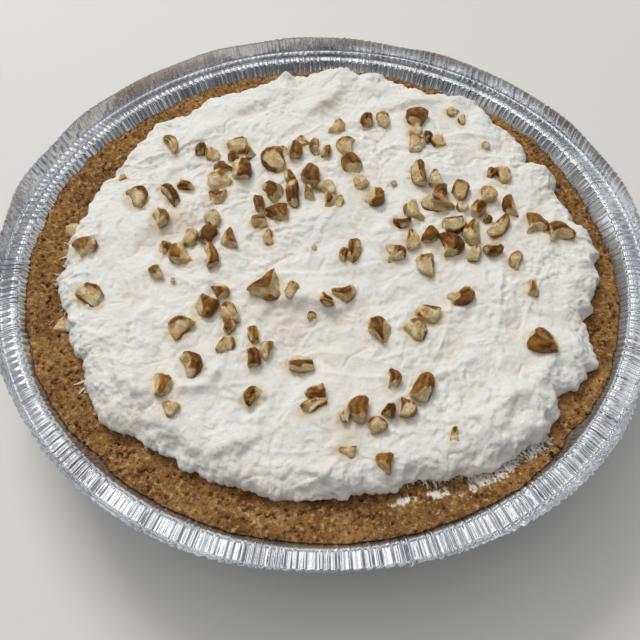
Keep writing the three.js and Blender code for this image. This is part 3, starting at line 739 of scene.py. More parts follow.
def cream_material():
    n = Nodes("whipped_cream")
    fine = n.noise(650, 4, 0.6, 0.4)
    micro = n.noise(2300, 2, 0.6)
    ivory = n.tinted("#edebe6", "#eae7df", n.noise(45, 3), 0.35, 0.68)
    return n.finish({
        # Painted shade: the cream turns darker and warmer where the hollow value is high, in its low spots,
        # creases, dips and round the pecans.
        "Base Color": n.mix(n.value("hollow"), ivory, "#d9cbb0"),
        "Subsurface Weight": 0.35,
        "Subsurface Radius": (1.0, 0.75, 0.5),
        "Subsurface Scale": 0.0016,
        "Specular IOR Level": 0.3,
        "Roughness": n.spread(fine, 0.3, 0.7, 0.62, 0.48),
        "Normal": n.bump(micro, 0.35, 0.00025, n.bump(fine, 0.6, 0.0008)),
    })


def pecan_material():
    n = Nodes("chopped_pecan")
    streaks = n.noise(480, 4, 0.65, 0.8)
    blotch = n.noise(300, 3, 0.6)
    fine = n.noise(1400, 3, 0.6)
    shade = n.value("shade")
    skin = n.tinted("#c79f58", "#a66c26", shade, 0.1, 0.6)
    skin = n.tinted(skin, "#7c4a17", shade, 0.55, 1.0)
    skin = n.tinted(skin, "#cb9748", blotch, 0.5, 0.66, 0.7)
    skin = n.tinted(skin, "#54300c", blotch, 0.46, 0.32, 0.5)
    skin = n.tinted(skin, "#3a1e07", streaks, 0.48, 0.3, 0.7)
    # The skin darkens in its grooves: partly its own darker lines, partly painted shade.
    skin = n.mix(n.math("MULTIPLY", n.value("groove"), 0.9), skin, "#2e1704")
    flesh = n.tinted("#e9dab4", "#cbab70", blotch, 0.35, 0.62)
    flesh = n.tinted(flesh, "#94703c", streaks, 0.44, 0.28, 0.6)
    flesh = n.tinted(flesh, "#f0e4c4", fine, 0.52, 0.72, 0.6)
    veins = n.math("ABSOLUTE", n.math("SUBTRACT", n.noise(380, 2, 0.55, 1.1), 0.5))
    flesh = n.mix(n.spread(veins, 0.0, 0.03, 0.4, 0.0), flesh, "#8d6630")
    # Above zero there is skin and below it broken flesh, with a ragged and golden seam between.
    torn = n.math("MULTIPLY", n.math("SUBTRACT", streaks, 0.5), 1.8)
    darker = n.math("MULTIPLY", n.math("SUBTRACT", shade, 0.6), 1.2)
    ragged = n.math("ADD", n.math("ADD", n.value("skin"), torn), darker)
    golden = n.tinted(flesh, "#a87836", ragged, -0.6, 0.2)
    normal = n.bump(fine, 0.4, 0.0003, n.bump(streaks, 0.5, 0.0005))
    return n.finish({
        "Base Color": n.tinted(golden, skin, ragged, 0.0, 0.4),
        "Specular IOR Level": 0.25,
        "Subsurface Weight": 0.25,
        "Subsurface Radius": (1.0, 0.6, 0.3),
        "Subsurface Scale": 0.0009,
        "Roughness": n.spread(fine, 0.3, 0.7, 0.42, 0.26),
        "Normal": n.bump(n.spread(veins, 0.0, 0.05), 0.5, 0.0003, normal),
    })


def floor_material():
    n = Nodes("pale_floor")
    return n.finish({
        "Base Color": n.mix(n.noise(6, 3), "#e2e0dc", "#dedcd8"),
        "Roughness": 0.7,
        "Normal": n.bump(n.noise(300, 2), 0.05, 0.0005),
    })


# ---------------------------------------------------------------- foil tin

# The tin's floor as radii, and how far it is raised there by its two ribs.
FLOOR_RIBS = [
    (15, 0), (34, 0), (36.5, 0.4), (39, 0), (70, 0), (72.5, 0.4), (75, 0), (BASE_RADIUS - 3, 0),
]
# Heights of the rows up the wall, and shares of the lip's length where it has a row.
WALL_ROWS = (5, 10, 15, 19, 22, 24, 25.5, 27, 28.4, 29.6)
LIP_SHARES = (0.13, 0.19, 0.27, 0.38, 0.52, 0.66, 0.8, 0.92, 1.0)


def pleat_angles():
    """Where the foil's uneven pleats begin, in radians, and how deep each is."""
    widths = 0.65 + 0.7 * scatter(np.arange(FOIL_PLEATS), 51)
    starts = np.concatenate([[0], np.cumsum(widths)]) / widths.sum() * FULL_TURN
    depth = 0.5 + 0.9 * scatter(np.arange(FOIL_PLEATS), 52)
    return starts, depth


def foil_profile():
    """Rows of the foil's section, from the floor's middle outwards: radius, height, depth of
    the pleats and strength of the crumpling."""
    floor = [(radius, FOIL_THICKNESS / 2 + rib, 0, 0) for radius, rib in FLOOR_RIBS]
    corner = [
        (BASE_RADIUS - 1.6, 0.1, 0, 0), (BASE_RADIUS - 0.2, 0.5, 0.05, 0),
        (wall_radius(1.6), 1.6, 0.1, 0),
    ]
    wall = [(wall_radius(z), z, 0.14 + 0.06 * z / WALL_HEIGHT, 0.12) for z in WALL_ROWS]
    bead = [
        (107.35, 30.12, 0.2, 0.02), (107.6, 30.4, 0.2, 0), (107.85, 30.6, 0.2, 0),
        (108.15, 30.77, 0.2, 0), (108.5, 30.92, 0.2, 0), (108.9, 31.03, 0.2, 0),
        (109.4, 31.09, 0.2, 0),
    ]
    ledge = [
        (110.0, 31.07, 0.19, 0.02), (110.8, 30.98, 0.2, 0.03), (111.6, 30.86, 0.21, 0.03),
        (112.4, 30.72, 0.22, 0.02), (112.9, 30.66, 0.21, 0), (113.25, 30.67, 0.2, 0),
        (113.5, 30.75, 0.2, 0), (113.7, 30.9, 0.2, 0),
    ]
    return floor + corner + wall + bead + ledge


def pleat_fold(pleat, t, angle):
    """How far a pleat stands out, from about -1 to 1, at a share t of the way across it. Some
    pleats have a second, smaller fold."""
    slant = (1.8 + 1.4 * smooth(-0.1, -0.7, np.sin(angle))) * (scatter(pleat, 54) - 0.5)
    turn = FULL_TURN * t + 0.9 * (scatter(pleat, 55) - 0.5) * np.sin(FULL_TURN * t)
    fold = np.tanh(PLEAT_SHARPNESS * np.sin(turn)) + slant * np.sin(np.pi * t) * np.cos(np.pi * t)
    second = 0.55 * np.tanh(2.5 * np.sin(2 * turn + 1.3 * scatter(pleat, 56)))
    return fold + second * (scatter(pleat, 57) > 0.45)


def lip_rows(angle, length):
    """Rows of the lip's section, outwards, in the same form as the profile's but for each angle."""
    lean = np.radians(around_pie(LIP_LEAN, angle))
    rows = []
    for share in LIP_SHARES:
        along = share * length
        strength = smooth(0.05, 0.4, share) * (0.35 + 0.3 * share) * (0.65 + 0.35 * np.sin(angle))
        rows.append(np.stack([
            OPENING_RADIUS + LEDGE_WIDTH + along * np.cos(lean),
            WALL_HEIGHT - LEDGE_DROP + along * np.sin(lean),
            np.full(len(angle), 0.2 + 0.06 * smooth(0.1, 0.4, share)), strength]))
    return rows


def foil_noise(kind, angle, way, squeeze, *settings):
    """Noise on the foil, drawn out along the way up its section where squeeze is above 1."""
    return kind(polar(TIN_NOISE_RADIUS, angle, way / squeeze).reshape(-1, 3), *settings).reshape(way.shape)


def make_tin(material):
    """The crimped foil tin, as a thin body with an underside and an upper side."""
    starts, pleat_depth = pleat_angles()
    pleat = np.repeat(np.arange(FOIL_PLEATS), COLUMNS_PER_PLEAT)
    t = np.tile(np.arange(COLUMNS_PER_PLEAT) / COLUMNS_PER_PLEAT, FOIL_PLEATS)
    angle = starts[pleat] + (starts[pleat + 1] - starts[pleat]) * t
    fold = pleat_fold(pleat, t, angle)
    scallop = 0.14 * fold * (scatter(pleat, 53) - 0.2)
    profile = foil_profile()
    rows = [np.broadcast_to(np.array(row, float)[:, None], (4, len(angle))) for row in profile]
    rows += lip_rows(angle, LIP_LENGTH + LIP_WAVE * wave_around(angle, 11) + scallop)
    radius, height, depth, crumple = (np.stack([row[k] for row in rows]) for k in range(4))
    run = np.gradient(radius, axis=0)
    rise = np.gradient(height, axis=0)
    size = np.hypot(run, rise)
    way = np.cumsum(size, axis=0)
    past_corner = way - way[len(profile) - 1]
    arc = TIN_NOISE_RADIUS * angle

    streaks = foil_noise(layered, angle, way, 5, 2.4, 61, 2)
    creases = 0.35 - np.abs(foil_noise(layered, angle, way, 5, 3.4, 62, 2))
    dents = foil_noise(layered, angle, way, 1, 12, 64, 2)
    fine = 0.05 * foil_noise(noise, angle, way, 11, 1.25, 65) * smooth(5, 25, height)
    aslant = np.stack([(arc + past_corner) / 1.6, (arc - past_corner) / 7, np.zeros_like(way)], -1)
    aslant = noise(aslant.reshape(-1, 3), 1.5, 67).reshape(way.shape) * smooth(0.7, 0.95, -np.cos(angle))
    crumpled = 0.3 * creases + 0.3 * streaks + 0.25 * dents + 0.7 * aslant

    # The pleats are shallower at the back of the ledge and lip, and deeper at the back of the wall.
    calm = 1 - 0.42 * smooth(-0.55, 0.3, np.sin(angle))
    calm = calm - 0.22 * smooth(0.6, 1.0, np.cos(angle - CALM_SIDE))
    local_depth = depth * pleat_depth[pleat] * np.clip(0.9 + 0.7 * dents, 0.3, 1.5)
    local_depth = local_depth * np.where(radius < WALL_END, 1 + 0.5 * np.sin(angle), calm)
    shift = fold * local_depth + fine + crumple * crumpled

    sides = []
    for side in (1, -1):
        move = shift + side * FOIL_THICKNESS / 2
        layer = polar(radius + rise / size * move, angle, height - run / size * move)
        sides.append(layer[::side])
    middle_top = FOIL_THICKNESS * 1.5
    points, faces = ring_body(np.concatenate(sides), (0, 0, 0), (0, 0, middle_top))
    lip = np.repeat(np.concatenate([np.zeros(len(profile)), LIP_SHARES]), len(angle))
    lip = np.concatenate([lip, lip[::-1], [0, 0]])
    return make_piece("foil_tin_crimped", material, points, faces, {"lip": lip})


# ---------------------------------------------------------------- crumb crust

CRUST_COLUMNS = 2000
CRUST_STEP = 0.33
SIDE_ROWS = 4
# Cracks in the crust, from x, y to x, y, besides those that are strewn over it.
CRUST_CRACKS = [
    (-55, -84.8, -50.5, -84.3),
    (-60, -80.5, -57.5, -78.0),
    (62, -70, 64, -66.5),
    (-20, -97, -14, -98),
    (8, -98.5, 14, -97.5),
    (-84, -52, -80, -50),
]
STREWN_CRACKS = 44
# Places where thin cream is smeared on the crust: x, y, reach along and across the edge.
SMEARS = [
    (49.5, -85.8, 13, 3.4),
    (65, -76.5, 6, 2.6),
    (33, -91.5, 5, 1.8),
    (22.5, -94, 4, 1.4),
    (-70, -66.8, 5, 1.0),
    (-94, -13, 3, 1.2),
    (63, -79, 4, 2.0),
]


def crust_section(angle):
    """Corner points of the crust's section where it shows, as (radius, height) for every angle."""
    edge = cream_edge(angle)
    rim = crust_rim(angle) + 0.35 * wave_around(angle * 3, 21)
    inner = edge + 1.5

    def top(share, dip):
        radius = inner + (crust_outside(rim) - inner) * share
        return radius, CRUST_TOP + (rim - CRUST_TOP) * math.sqrt(share) - dip

    return [
        (crust_outside(14), 14.0),
        (crust_outside(21), 21.0),
        (crust_outside(rim - CRUST_ROUNDING), rim - CRUST_ROUNDING),
        top(0.97, 0.25),
        top(0.86, 0.0),
        top(0.45, 0.0),
        (inner, CRUST_TOP - 0.25),
        (edge - 1.5, CRUST_TOP - 0.3),
        (edge - SEAT_INSET + 1, CRUST_TOP - 0.2),
    ]


def make_crust(material):
    """The crumb crust, with a rough top and side where it shows and plain rows elsewhere."""
    angle = np.arange(CRUST_COLUMNS) / CRUST_COLUMNS * FULL_TURN
    corners = crust_section(angle)
    rows = [(BASE_RADIUS - 3.2, CRUST_BOTTOM), (crust_outside(3.2), 3.2)]
    for (r0, z0), (r1, z1) in itertools.pairwise(corners):
        count = max(1, round(float(np.hypot(r1 - r0, z1 - z0).mean()) / CRUST_STEP))
        if np.mean(z0) < 20:
            count = SIDE_ROWS
        rows += [(r0 + (r1 - r0) * step / count, z0 + (z1 - z0) * step / count) for step in range(count)]
    rows += [corners[-1], (cream_edge(angle) - SEAT_INSET, SEAT_HEIGHT)]
    rings = np.stack([polar(radius, angle, height) for radius, height in rows])
    points, faces = ring_body(rings, (0, 0, CRUST_BOTTOM), (0, 0, SEAT_HEIGHT))
    out = np.hypot(points[:, 0], points[:, 1])
    row = np.arange(len(points)) // CRUST_COLUMNS
    shown = (row > 2) & (row < len(rows) - 2)
    edge = cream_edge(np.arctan2(points[:, 1], points[:, 0]))
    free = smooth(-4.4, -2.0, out - edge) * shown

    lumps = 0.55 * layered(points, 8, 71, 2) + 0.5 * layered(points, 2.6, 75, 2)
    lumps += 0.36 * layered(points, 1.2, 79, 2)
    _, gap, number = nearest_seeds(points, 0.8, 76)
    crumbs = 0.1 * smooth(0, 0.3, gap) * (0.3 + number)
    hole, _, hole_number = nearest_seeds(points, 2.3, 77)
    hole_size = np.where(hole_number > 0.3, 0.32 + 1.1 * (hole_number - 0.3) ** 2, 0)
    pore = smooth(hole_size + 0.22, hole_size * 0.4, hole) * (hole_size > 0)
    crack = np.max([crack_depth(points, *ends) for ends in CRUST_CRACKS + strewn_cracks()], axis=0)
    rim_wear = smooth(1.6, 0.2, crust_outside(points[:, 2]) - out)
    crumbled = rim_wear * (0.35 * layered(points, 2.0, 78, 2) - 0.05)
    depth = lumps + crumbs - pore - 1.2 * crack + crumbled
    depth = np.where(points[:, 2] < 22, depth * 0.4, depth)
    moved = points + surface_normals(points, faces) * (depth * free)[:, None]

    # Nothing reaches into the foil.
    reach = np.maximum(np.hypot(moved[:, 0], moved[:, 1]), 1e-6)
    room = wall_radius(moved[:, 2]) - 0.4
    moved[:, :2] *= np.where(shown, np.minimum(1, room / reach), 1)[:, None]
    # Painted shade in the pores and cracks where the crust shows, passed on as its pore value.
    dark = np.clip(pore * 0.85 + crack, 0, 1) * free
    return make_piece(
        "crumb_crust_baked", material, moved, faces, {"pore": dark, "smear": smear_share(points)})


def strewn_cracks():
    """Short cracks spread over the crust's top, mostly along its edge."""
    cracks = []
    for index in range(STREWN_CRACKS):
        draw = draws(index, 171, 4)
        angle = FULL_TURN * (index + draw[0]) / STREWN_CRACKS
        out = float(cream_edge(angle)) + 1.5 + 7 * draw[1]
        heading = angle + math.pi / 2 + 2.4 * (draw[2] - 0.5)
        length = 1.2 + 3 * draw[3] ** 2
        x, y = out * math.cos(angle), out * math.sin(angle)
        cracks.append((x, y, x + length * math.cos(heading), y + length * math.sin(heading)))
    return cracks


def crack_depth(points, *ends):
    """1 along a short ragged crack, 0 away from it."""
    along, left, length = beside_line(points[:, 0], points[:, 1], *ends)
    across = np.abs(left + 0.45 * np.sin(along * 2.3))
    return smooth(0.55, 0.15, across) * smooth(-0.4, 0.4, along) * smooth(length + 0.4, length - 0.4, along)


def smear_share(points):
    """How much thin cream covers the crust there, streaky and with holes."""
    x, y = points[:, 0], points[:, 1]
    total = np.zeros(len(points))
    for middle_x, middle_y, along, across in SMEARS:
        inwards = -math.atan2(middle_y, middle_x)
        out, side = turned(x - middle_x, y - middle_y, inwards)
        total = np.maximum(total, np.exp(-((out / across) ** 2) - (side / along) ** 2))
    combed = np.stack([SMEAR_NOISE_RADIUS * np.arctan2(y, x), np.hypot(x, y) / 2.6, np.zeros_like(x)], 1)
    holes = 0.45 * layered(points, 1.6, 81, 2) + 0.5 * layered(combed, 0.9, 82, 2)
    return smooth(0.45, 0.8, total + holes) * (total > 0.05)


# ---------------------------------------------------------------- whipped cream

# Rows of the skirt that tucks in under the cream's edge: how far inside the edge, and height.
CREAM_SKIRT = [
    (-0.10, CREAM_BULGE - 0.35), (-0.12, CREAM_BULGE - 0.7), (0.05, CREAM_BULGE - 1.05),
    (0.4, CREAM_BULGE - 1.4), (0.9, CREAM_BULGE - 1.75), (1.5, CREAM_FOOT + 0.2),
    (2.1, CREAM_FOOT), (3.2, CREAM_FOOT),
]


def spatula_marks(x, y):
    """Height left by many overlapping strokes of a spatula: each one lays a shallow trough with
    fine lines along it, a ridge on one side and a lip at its end."""
    height = np.zeros_like(x)
    for index in range(SPATULA_MARKS):
        draw = draws(index, 41, 9)
        turn = FULL_TURN * draw[0]
        out = SPATULA_REACH * math.sqrt(draw[1])
        heading = turn + math.pi / 2 + 1.5 * (draw[2] - 0.5)
        half_length = 9 + 12 * draw[3]
        half_width = 4 + 5 * draw[4]
        bow = 5 * (draw[5] - 0.5)
        east, north = x - out * math.cos(turn), y - out * math.sin(turn)
        near = np.hypot(east, north) < half_length * 1.4 + 3
        along, across = turned(east[near], north[near], -heading)
        along = along / half_length
        across = (across - bow * (1 - along**2)) / half_width
        beside = np.abs(across)
        apart = np.full_like(along, index * 7.3)
        lines = np.stack([along * half_length / 9, across * half_width, apart], 1)
        trough = -0.45 * (1 - across**2) + 0.1 * noise(lines, 1.0, 83) + 0.12 * noise(lines, 1.9, 84)
        ridge = (0.35 + 0.4 * draw[6]) * np.exp(-(((across - 0.92) / 0.13) ** 2))
        ridge += 0.4 * draw[7] * np.exp(-(((along - 0.95) / 0.1) ** 2)) * smooth(1.0, 0.7, beside)
        ridge = ridge * smooth(1.2, 0.9, np.abs(along)) * smooth(1.25, 1.0, beside)
        mask = smooth(1.15, 0.85, np.abs(along)) * smooth(1.1, 0.8, beside)
        height[near] = height[near] * (1 - mask) + trough * (0.5 + draw[8]) * mask + ridge
    return height


def deep_hollows(x, y):
    """How much lower the cream lies than in the solids, because of the extra hollows."""
    return sum(mound(x, y, *hollow) for hollow in DEEP_HOLLOWS)


def cream_grid():
    """A round grid of nearly square cells: its points as shares of the edge and angles, its
    quads, and the ring of its outermost points."""
    steps = np.arange(-CREAM_RINGS, CREAM_RINGS + 1)
    i, j = np.meshgrid(steps, steps, indexing="ij")
    wide = np.abs(i) >= np.abs(j)
    main = np.where(wide, i, j)
    slant = np.pi / 4 * np.where(wide, j, i) / np.where(main == 0, 1, main)
    angle = np.where(wide, slant, np.pi / 2 - slant)
    x, y = main * np.cos(angle), main * np.sin(angle)
    share = np.hypot(x, y) / CREAM_RINGS
    share = share * (1 + CREAM_EDGE_DENSITY - CREAM_EDGE_DENSITY * share)
    index = np.arange(len(steps) ** 2).reshape(len(steps), -1)
    quads = np.stack([index[:-1, :-1], index[1:, :-1], index[1:, 1:], index[:-1, 1:]], -1)
    ring = np.concatenate([index[-1, :-1], index[:0:-1, -1], index[0, :0:-1], index[:-1, 0]])
    return share.ravel(), np.arctan2(y, x).ravel(), quads.reshape(-1, 4), ring


def painted_pecan_shadow(x, y):
    """Painted shadow: how much the cream is darkened and tinted close round each pecan, set a little to its
    front left.
    """
    shade_tint = np.zeros_like(x)
    for index, (pecan_x, pecan_y, heading, length, width, *_) in enumerate(PECANS):
        east, north = x - pecan_x + 0.5, y - pecan_y + 0.6
        near = np.hypot(east, north) < length / 2 + 3
        along, across = turned(east[near], north[near], -math.radians(heading))
        beyond = np.maximum(0, np.hypot(along / (length / 2), across / (width / 2)) - 1) * width / 2
        strength = 0.25 + 0.65 * float(scatter(index, 131))
        shade_tint[near] = np.maximum(shade_tint[near], strength * np.exp(-(beyond**2)))
    return shade_tint


def cream_texture(flat, rise):
    """Height of what the spatula and the torn cream add to the top, and where shade is painted into its
    colour.
    """
    x, y = flat[:, 0], flat[:, 1]
    warp = 5 * np.stack([layered(flat, 13, 91, 2), layered(flat, 13, 95, 2), np.zeros_like(x)], 1)
    warped = flat + warp
    strokes = sum(stroke_height(stroke, x, y) for stroke in FINE_STROKES) - deep_hollows(x, y)
    heaps = np.zeros_like(x)
    for angle, out, size, tall in CREAM_HEAPS:
        turn = math.radians(angle)
        heaps += mound(x, y, out * math.cos(turn), out * math.sin(turn), size, tall)
    soft = 1.5 * layered(warped, 15, 92, 2)
    folds = 0.9 * (0.4 - np.hypot(layered(warped, 10, 93, 2), 0.2))
    rough = smooth(-0.2, 0.4, layered(flat, 26, 94, 2) + 0.7 * (1 - rise))
    torn = 0.5 * (0.4 - np.hypot(layered(warped, 3.4, 96, 2), 0.08)) + 0.22 * layered(flat, 1.6, 97, 2)
    dimples = 0.8 * layered(warped, 6, 99, 2)
    grain = 0.3 * noise(flat, 2.4, 107) + 0.15 * noise(flat, 1.2, 108)
    seams = smooth(0.09, 0.02, np.abs(layered(warped, 12, 106, 2)))
    seams *= smooth(-0.05, 0.25, noise(flat, 9, 109))
    marks = spatula_marks(x, y)
    texture = 0.95 * strokes + 0.6 * marks + soft + folds + heaps - 0.45 * seams
    texture += (0.12 + 1.25 * rough) * torn + (0.22 + 0.85 * rough) * dimples + (0.6 + 0.7 * rough) * grain
    # Painted shade in the low spots left by the marks, folds and soft waves.
    low = smooth(-0.1, -1.1, marks + 1.4 * folds + 0.6 * soft) * 0.4
    # Painted shade for the colour: the low spots, the painted shadows round the pecans, the creases and the
    # darker dips.
    shade_tints = [mound(x, y, *shade_tint) for shade_tint in PAINTED_CREAM_SHADE]
    return texture, np.max([low, painted_pecan_shadow(x, y), 0.3 * seams, *shade_tints], axis=0)


def make_cream(material):
    """The whipped cream: a fine grid for its top, a skirt under its edge, and a flat bottom."""
    share, angle, quads, ring = cream_grid()
    plain_edge = cream_edge(angle)
    edge = plain_edge + (ragged_edge(angle) - plain_edge) * smooth(0.5, 0.97, share)
    top = polar(edge * share, angle, 0.0)
    from_edge = edge - edge * share
    roll = CREAM_ROLL * (0.85 + 0.5 * noise(top, 17, 98))
    rise = 1 - np.exp(-np.maximum(0, from_edge) / roll)
    texture, tint = cream_texture(top, rise)
    relief = cream_relief(top[:, 0], top[:, 1]) + texture
    top[:, 2] = CREAM_BULGE + (CREAM_TOP - CREAM_BULGE + relief) * rise

    ring_angle = angle[ring]
    ring_edge = ragged_edge(ring_angle)
    seat_edge = cream_edge(ring_angle) - SEAT_INSET
    rims = [(np.maximum(ring_edge - inset, seat_edge + 0.3), height) for inset, height in CREAM_SKIRT]
    rims += [(seat_edge + 0.05, CREAM_FOOT), (seat_edge - 0.95, CREAM_BOTTOM)]
    skirt = [polar(radius, ring_angle, height) for radius, height in rims]
    points = np.concatenate([top, *skirt, [[0, 0, CREAM_BOTTOM]]])
    rows = len(top) + np.arange(len(ring) * len(rims)).reshape(len(rims), -1)
    quads = np.concatenate([quads, band_faces([ring, *rows])[:, ::-1]])
    faces = [quads, fan_faces(rows[-1], len(points) - 1)[:, ::-1]]

    # Lumps that swell out round the edge, and fade on the way down the skirt.
    inside = np.zeros(len(points))
    inside[:len(top)] = from_edge
    skirt_row = np.maximum(0, (np.arange(len(points)) - len(top)) // len(ring) + 1)
    lumps = 1.5 * layered(points, 9.0, 101, 2) + 1.4 * (0.35 - np.abs(layered(points, 6.5, 103, 2)))
    lumps += 0.6 * (0.35 - np.abs(layered(points, 2.8, 104, 2))) + 0.26 * layered(points, 1.3, 105, 2)
    lumps *= smooth(15, 1.5, inside) * smooth(8, 4, skirt_row)
    moved = points + surface_normals(points, faces) * lumps[:, None]
    moved[:, 2] = np.where(skirt_row >= 7, points[:, 2], np.maximum(moved[:, 2], CREAM_FOOT - 0.25))
    # The painted shade reaches the top only, not the skirt.
    tint = np.concatenate([tint, np.zeros(len(points) - len(top))])
    return make_piece("whipped_cream_spread", material, moved, faces, {"hollow": tint})


# ---------------------------------------------------------------- chopped pecans


def unit_ball(level):
    """Points and triangles of a ball of radius 1."""
    ball = bmesh.new()
    bmesh.ops.create_icosphere(ball, subdivisions=level, radius=1)
    points = np.array([v.co for v in ball.verts])
    triangles = np.array([[v.index for v in f.verts] for f in ball.faces])
    ball.free()
    return points, triangles


def unit_direction(turn, lift):
    """A direction from its turn round the upright and its lift above the level."""
    return np.array([math.cos(lift) * math.cos(turn), math.cos(lift) * math.sin(turn), math.sin(lift)])


def cutting_plane(direction, half, share):
    """A broken face as a unit direction and a distance, from a share of the pecan's reach."""
    normal = np.array(direction) / np.linalg.norm(direction)
    return normal, float(np.linalg.norm(normal * half)) * share


def pecan_cuts(index, row):
    """The broken faces at both ends, at a corner and on the side that the pecan's row names."""
    heading, length, width, height, side = row[2:7]
    draw = [2 * number - 1 for number in draws(index + 1, 1, 6)]
    cuts = [
        ((1, 0.6 * draw[0], 0.5 * draw[1]), END_CUT),
        ((-1, 0.6 * draw[2], 0.5 * draw[3]), END_CUT),
        ((draw[4], draw[5], 0.6), CORNER_CUT),
    ]
    if side != "none":
        world_x, world_y, upward = BROKEN_SIDES[side]
        cuts.append(((*turned(world_x, world_y, math.radians(-heading)), upward), BROKEN_CUT))
    half = np.array([length, width, height]) / 2
    return [cutting_plane(direction, half, share) for direction, share in cuts]


def pecan_chips(index, half, shade):
    """Extra broken faces at the sides, more on a pale piece."""
    chips = []
    for number in range(next(count for darkest, count in CHIP_COUNTS if shade < darkest)):
        draw = draws(index * 7 + number, 141, 3)
        direction = unit_direction(FULL_TURN * draw[0], math.radians(-30 + 50 * draw[1]))
        chips.append(cutting_plane(direction, half, 0.66 + 0.28 * draw[2]))
    return chips


def bitten(direction, index):
    """Shares of the reach that are left where rounded bites are gone from a pecan's sides."""
    left = np.ones(len(direction))
    for number in range(BITES):
        draw = draws(index * 5 + number, 145, 4)
        towards = unit_direction(FULL_TURN * draw[0], math.radians(-10 + 60 * draw[1]))
        apart = np.arccos(np.clip(direction @ towards, -1, 1)) / (0.22 + 0.35 * draw[3])
        left = left * (1 - 0.36 * draw[2] ** 1.3 * np.exp(-(apart**2)))
    return left


def resting_height(x, y):
    """Height of what a pecan lies on: the cream, or the crust outside it."""
    if math.hypot(x, y) >= float(cream_edge(math.atan2(y, x))):
        return CRUST_TOP
    return float(cream_height(x, y) - 0.8 * deep_hollows(x, y))


def make_pecans(material):
    """All the chopped pecans in one mesh: each is a grooved nut, cut short by broken faces."""
    ball, ball_faces = unit_ball(3)
    points, faces = [], []
    values = {"skin": [], "groove": [], "shade": []}
    for index, row in enumerate(PECANS):
        x, y, heading, length, width, height, _, shade = row
        half = np.array([length, width, height]) * PECAN_GROWTH / 2
        direction = ball * half
        direction /= np.linalg.norm(direction, axis=1, keepdims=True)
        whole = (np.abs(direction / half) ** BLUNTNESS).sum(1) ** (-1 / BLUNTNESS)
        place = direction * whole[:, None]
        strewn = place + index * 37.0
        draw = draws(index + 1, 151, 8)

        # The skin, with the grooves of a pecan half along it, a furrow and fine wrinkles.
        along = place[:, 0] / half[0]
        across = place[:, 1] * (1 + 0.35 * along**2) + (draw[1] - 0.5) * width * 0.5 * along**2
        across = across + 0.3 * noise(strewn, 3.5, 113)
        ridge = 0.5 + 0.5 * np.cos(FULL_TURN * (across / (1.5 + 0.7 * draw[0]) + draw[2]))
        furrow = np.exp(-(((across - (draw[3] - 0.5) * width * 0.5) / 0.5) ** 2)) * (draw[4] > 0.55)
        groove = 0.34 * (1 - ridge) ** 1.5 + 0.6 * furrow
        wrinkles = noise(strewn * [0.5, 1, 1], 0.9, 117)
        lumpy = 0.4 * layered(strewn, 3.8, 111, 2) + 0.14 * layered(strewn, 1.5, 114, 2) + 0.1 * wrinkles
        left = bitten(direction, index)
        bark = whole * (0.5 + 0.5 * left) - groove * min(1, height / 5) + lumpy

        # The broken faces, uneven and stepped. Whichever lies lower shows.
        broken = np.full(len(ball), FAR)
        for normal, distance in pecan_cuts(index, row) + pecan_chips(index, half, shade):
            facing = direction @ normal
            broken = np.minimum(broken, np.where(facing > 1e-3, distance / np.maximum(facing, 1e-3), FAR))
        chipped = broken * left + 0.35 * layered(strewn, 2.6, 112, 3)
        chipped = chipped + 0.5 * (0.3 - np.abs(layered(strewn, 3.2, 115, 2)))
        _, seam, step = nearest_seeds(strewn, 3.0, 116)
        chipped = chipped - 0.65 * (step - 0.4) * smooth(0, 0.45, seam)
        reach = 0.5 * (bark + chipped - np.hypot(bark - chipped, 0.25))

        # Bent and narrower towards one end, turned to its heading and set down.
        local = direction * reach[:, None]
        local[:, 1] += (draw[5] - 0.5) * 0.5 * width * (2 * along**2 - 1)
        narrow = 0.5 + 0.5 * along * (1 if draw[6] > 0.5 else -1)
        local[:, 1] *= 1.1 - 0.65 * draw[7] * narrow
        local[:, 2] *= 1.05 - 0.35 * draw[2] * narrow
        east, north = turned(local[:, 0], local[:, 1], math.radians(heading))
        lift = resting_height(x, y) + height * PECAN_RISE
        points.append(np.stack([x + east, y + north, lift + local[:, 2]], 1))
        faces.append(ball_faces + index * len(ball))
        values["skin"].append(np.clip(chipped - bark, -3, 3))
        # Darker lines in the grooves, furrow and wrinkles: partly the skin's own colour, partly painted
        # shade.
        wear_and_groove_shade = furrow + 0.8 * (1 - ridge) ** 2 + 0.4 * smooth(0, -0.5, wrinkles)
        values["groove"].append(np.clip(wear_and_groove_shade, 0, 1))
        values["shade"].append(np.full(len(ball), shade))
    values = {name: np.concatenate(numbers) for name, numbers in values.items()}
    return make_piece("pecan_pieces", material, np.concatenate(points), faces, values)


# ---------------------------------------------------------------- loose crumbs and wisps of cream

LOOSE_CRUMBS = 1500
LOWEST_CRUMB = 24
# Where wisps of cream hang over the crust: from angle to angle, how many, and their longest.
WISP_ZONES = [
    (185, 192, 12, 2.6),
    (220, 235, 14, 1.6),
    (249, 250.5, 2, 2.2),
    (281, 287, 8, 2.2),
    (287, 297, 26, 3.0),
    (296, 311, 60, 4.2),
    (177.5, 181.5, 9, 5.2),
    (182, 186, 10, 3.8),
    (186.5, 190.5, 16, 5.6),
    (191, 197, 10, 3.0),
    (215.3, 217.5, 6, 5.4),
]
WISP_SIDES = 6
WISP_STEPS = 8


def look_down(tree, x, y):
    """Where a straight line down at x, y meets a surface, or None."""
    hit = tree.ray_cast(Vector((x * MM, y * MM, 0.08)), Vector((0, 0, -1)))[0]
    return None if hit is None else np.array(hit) / MM


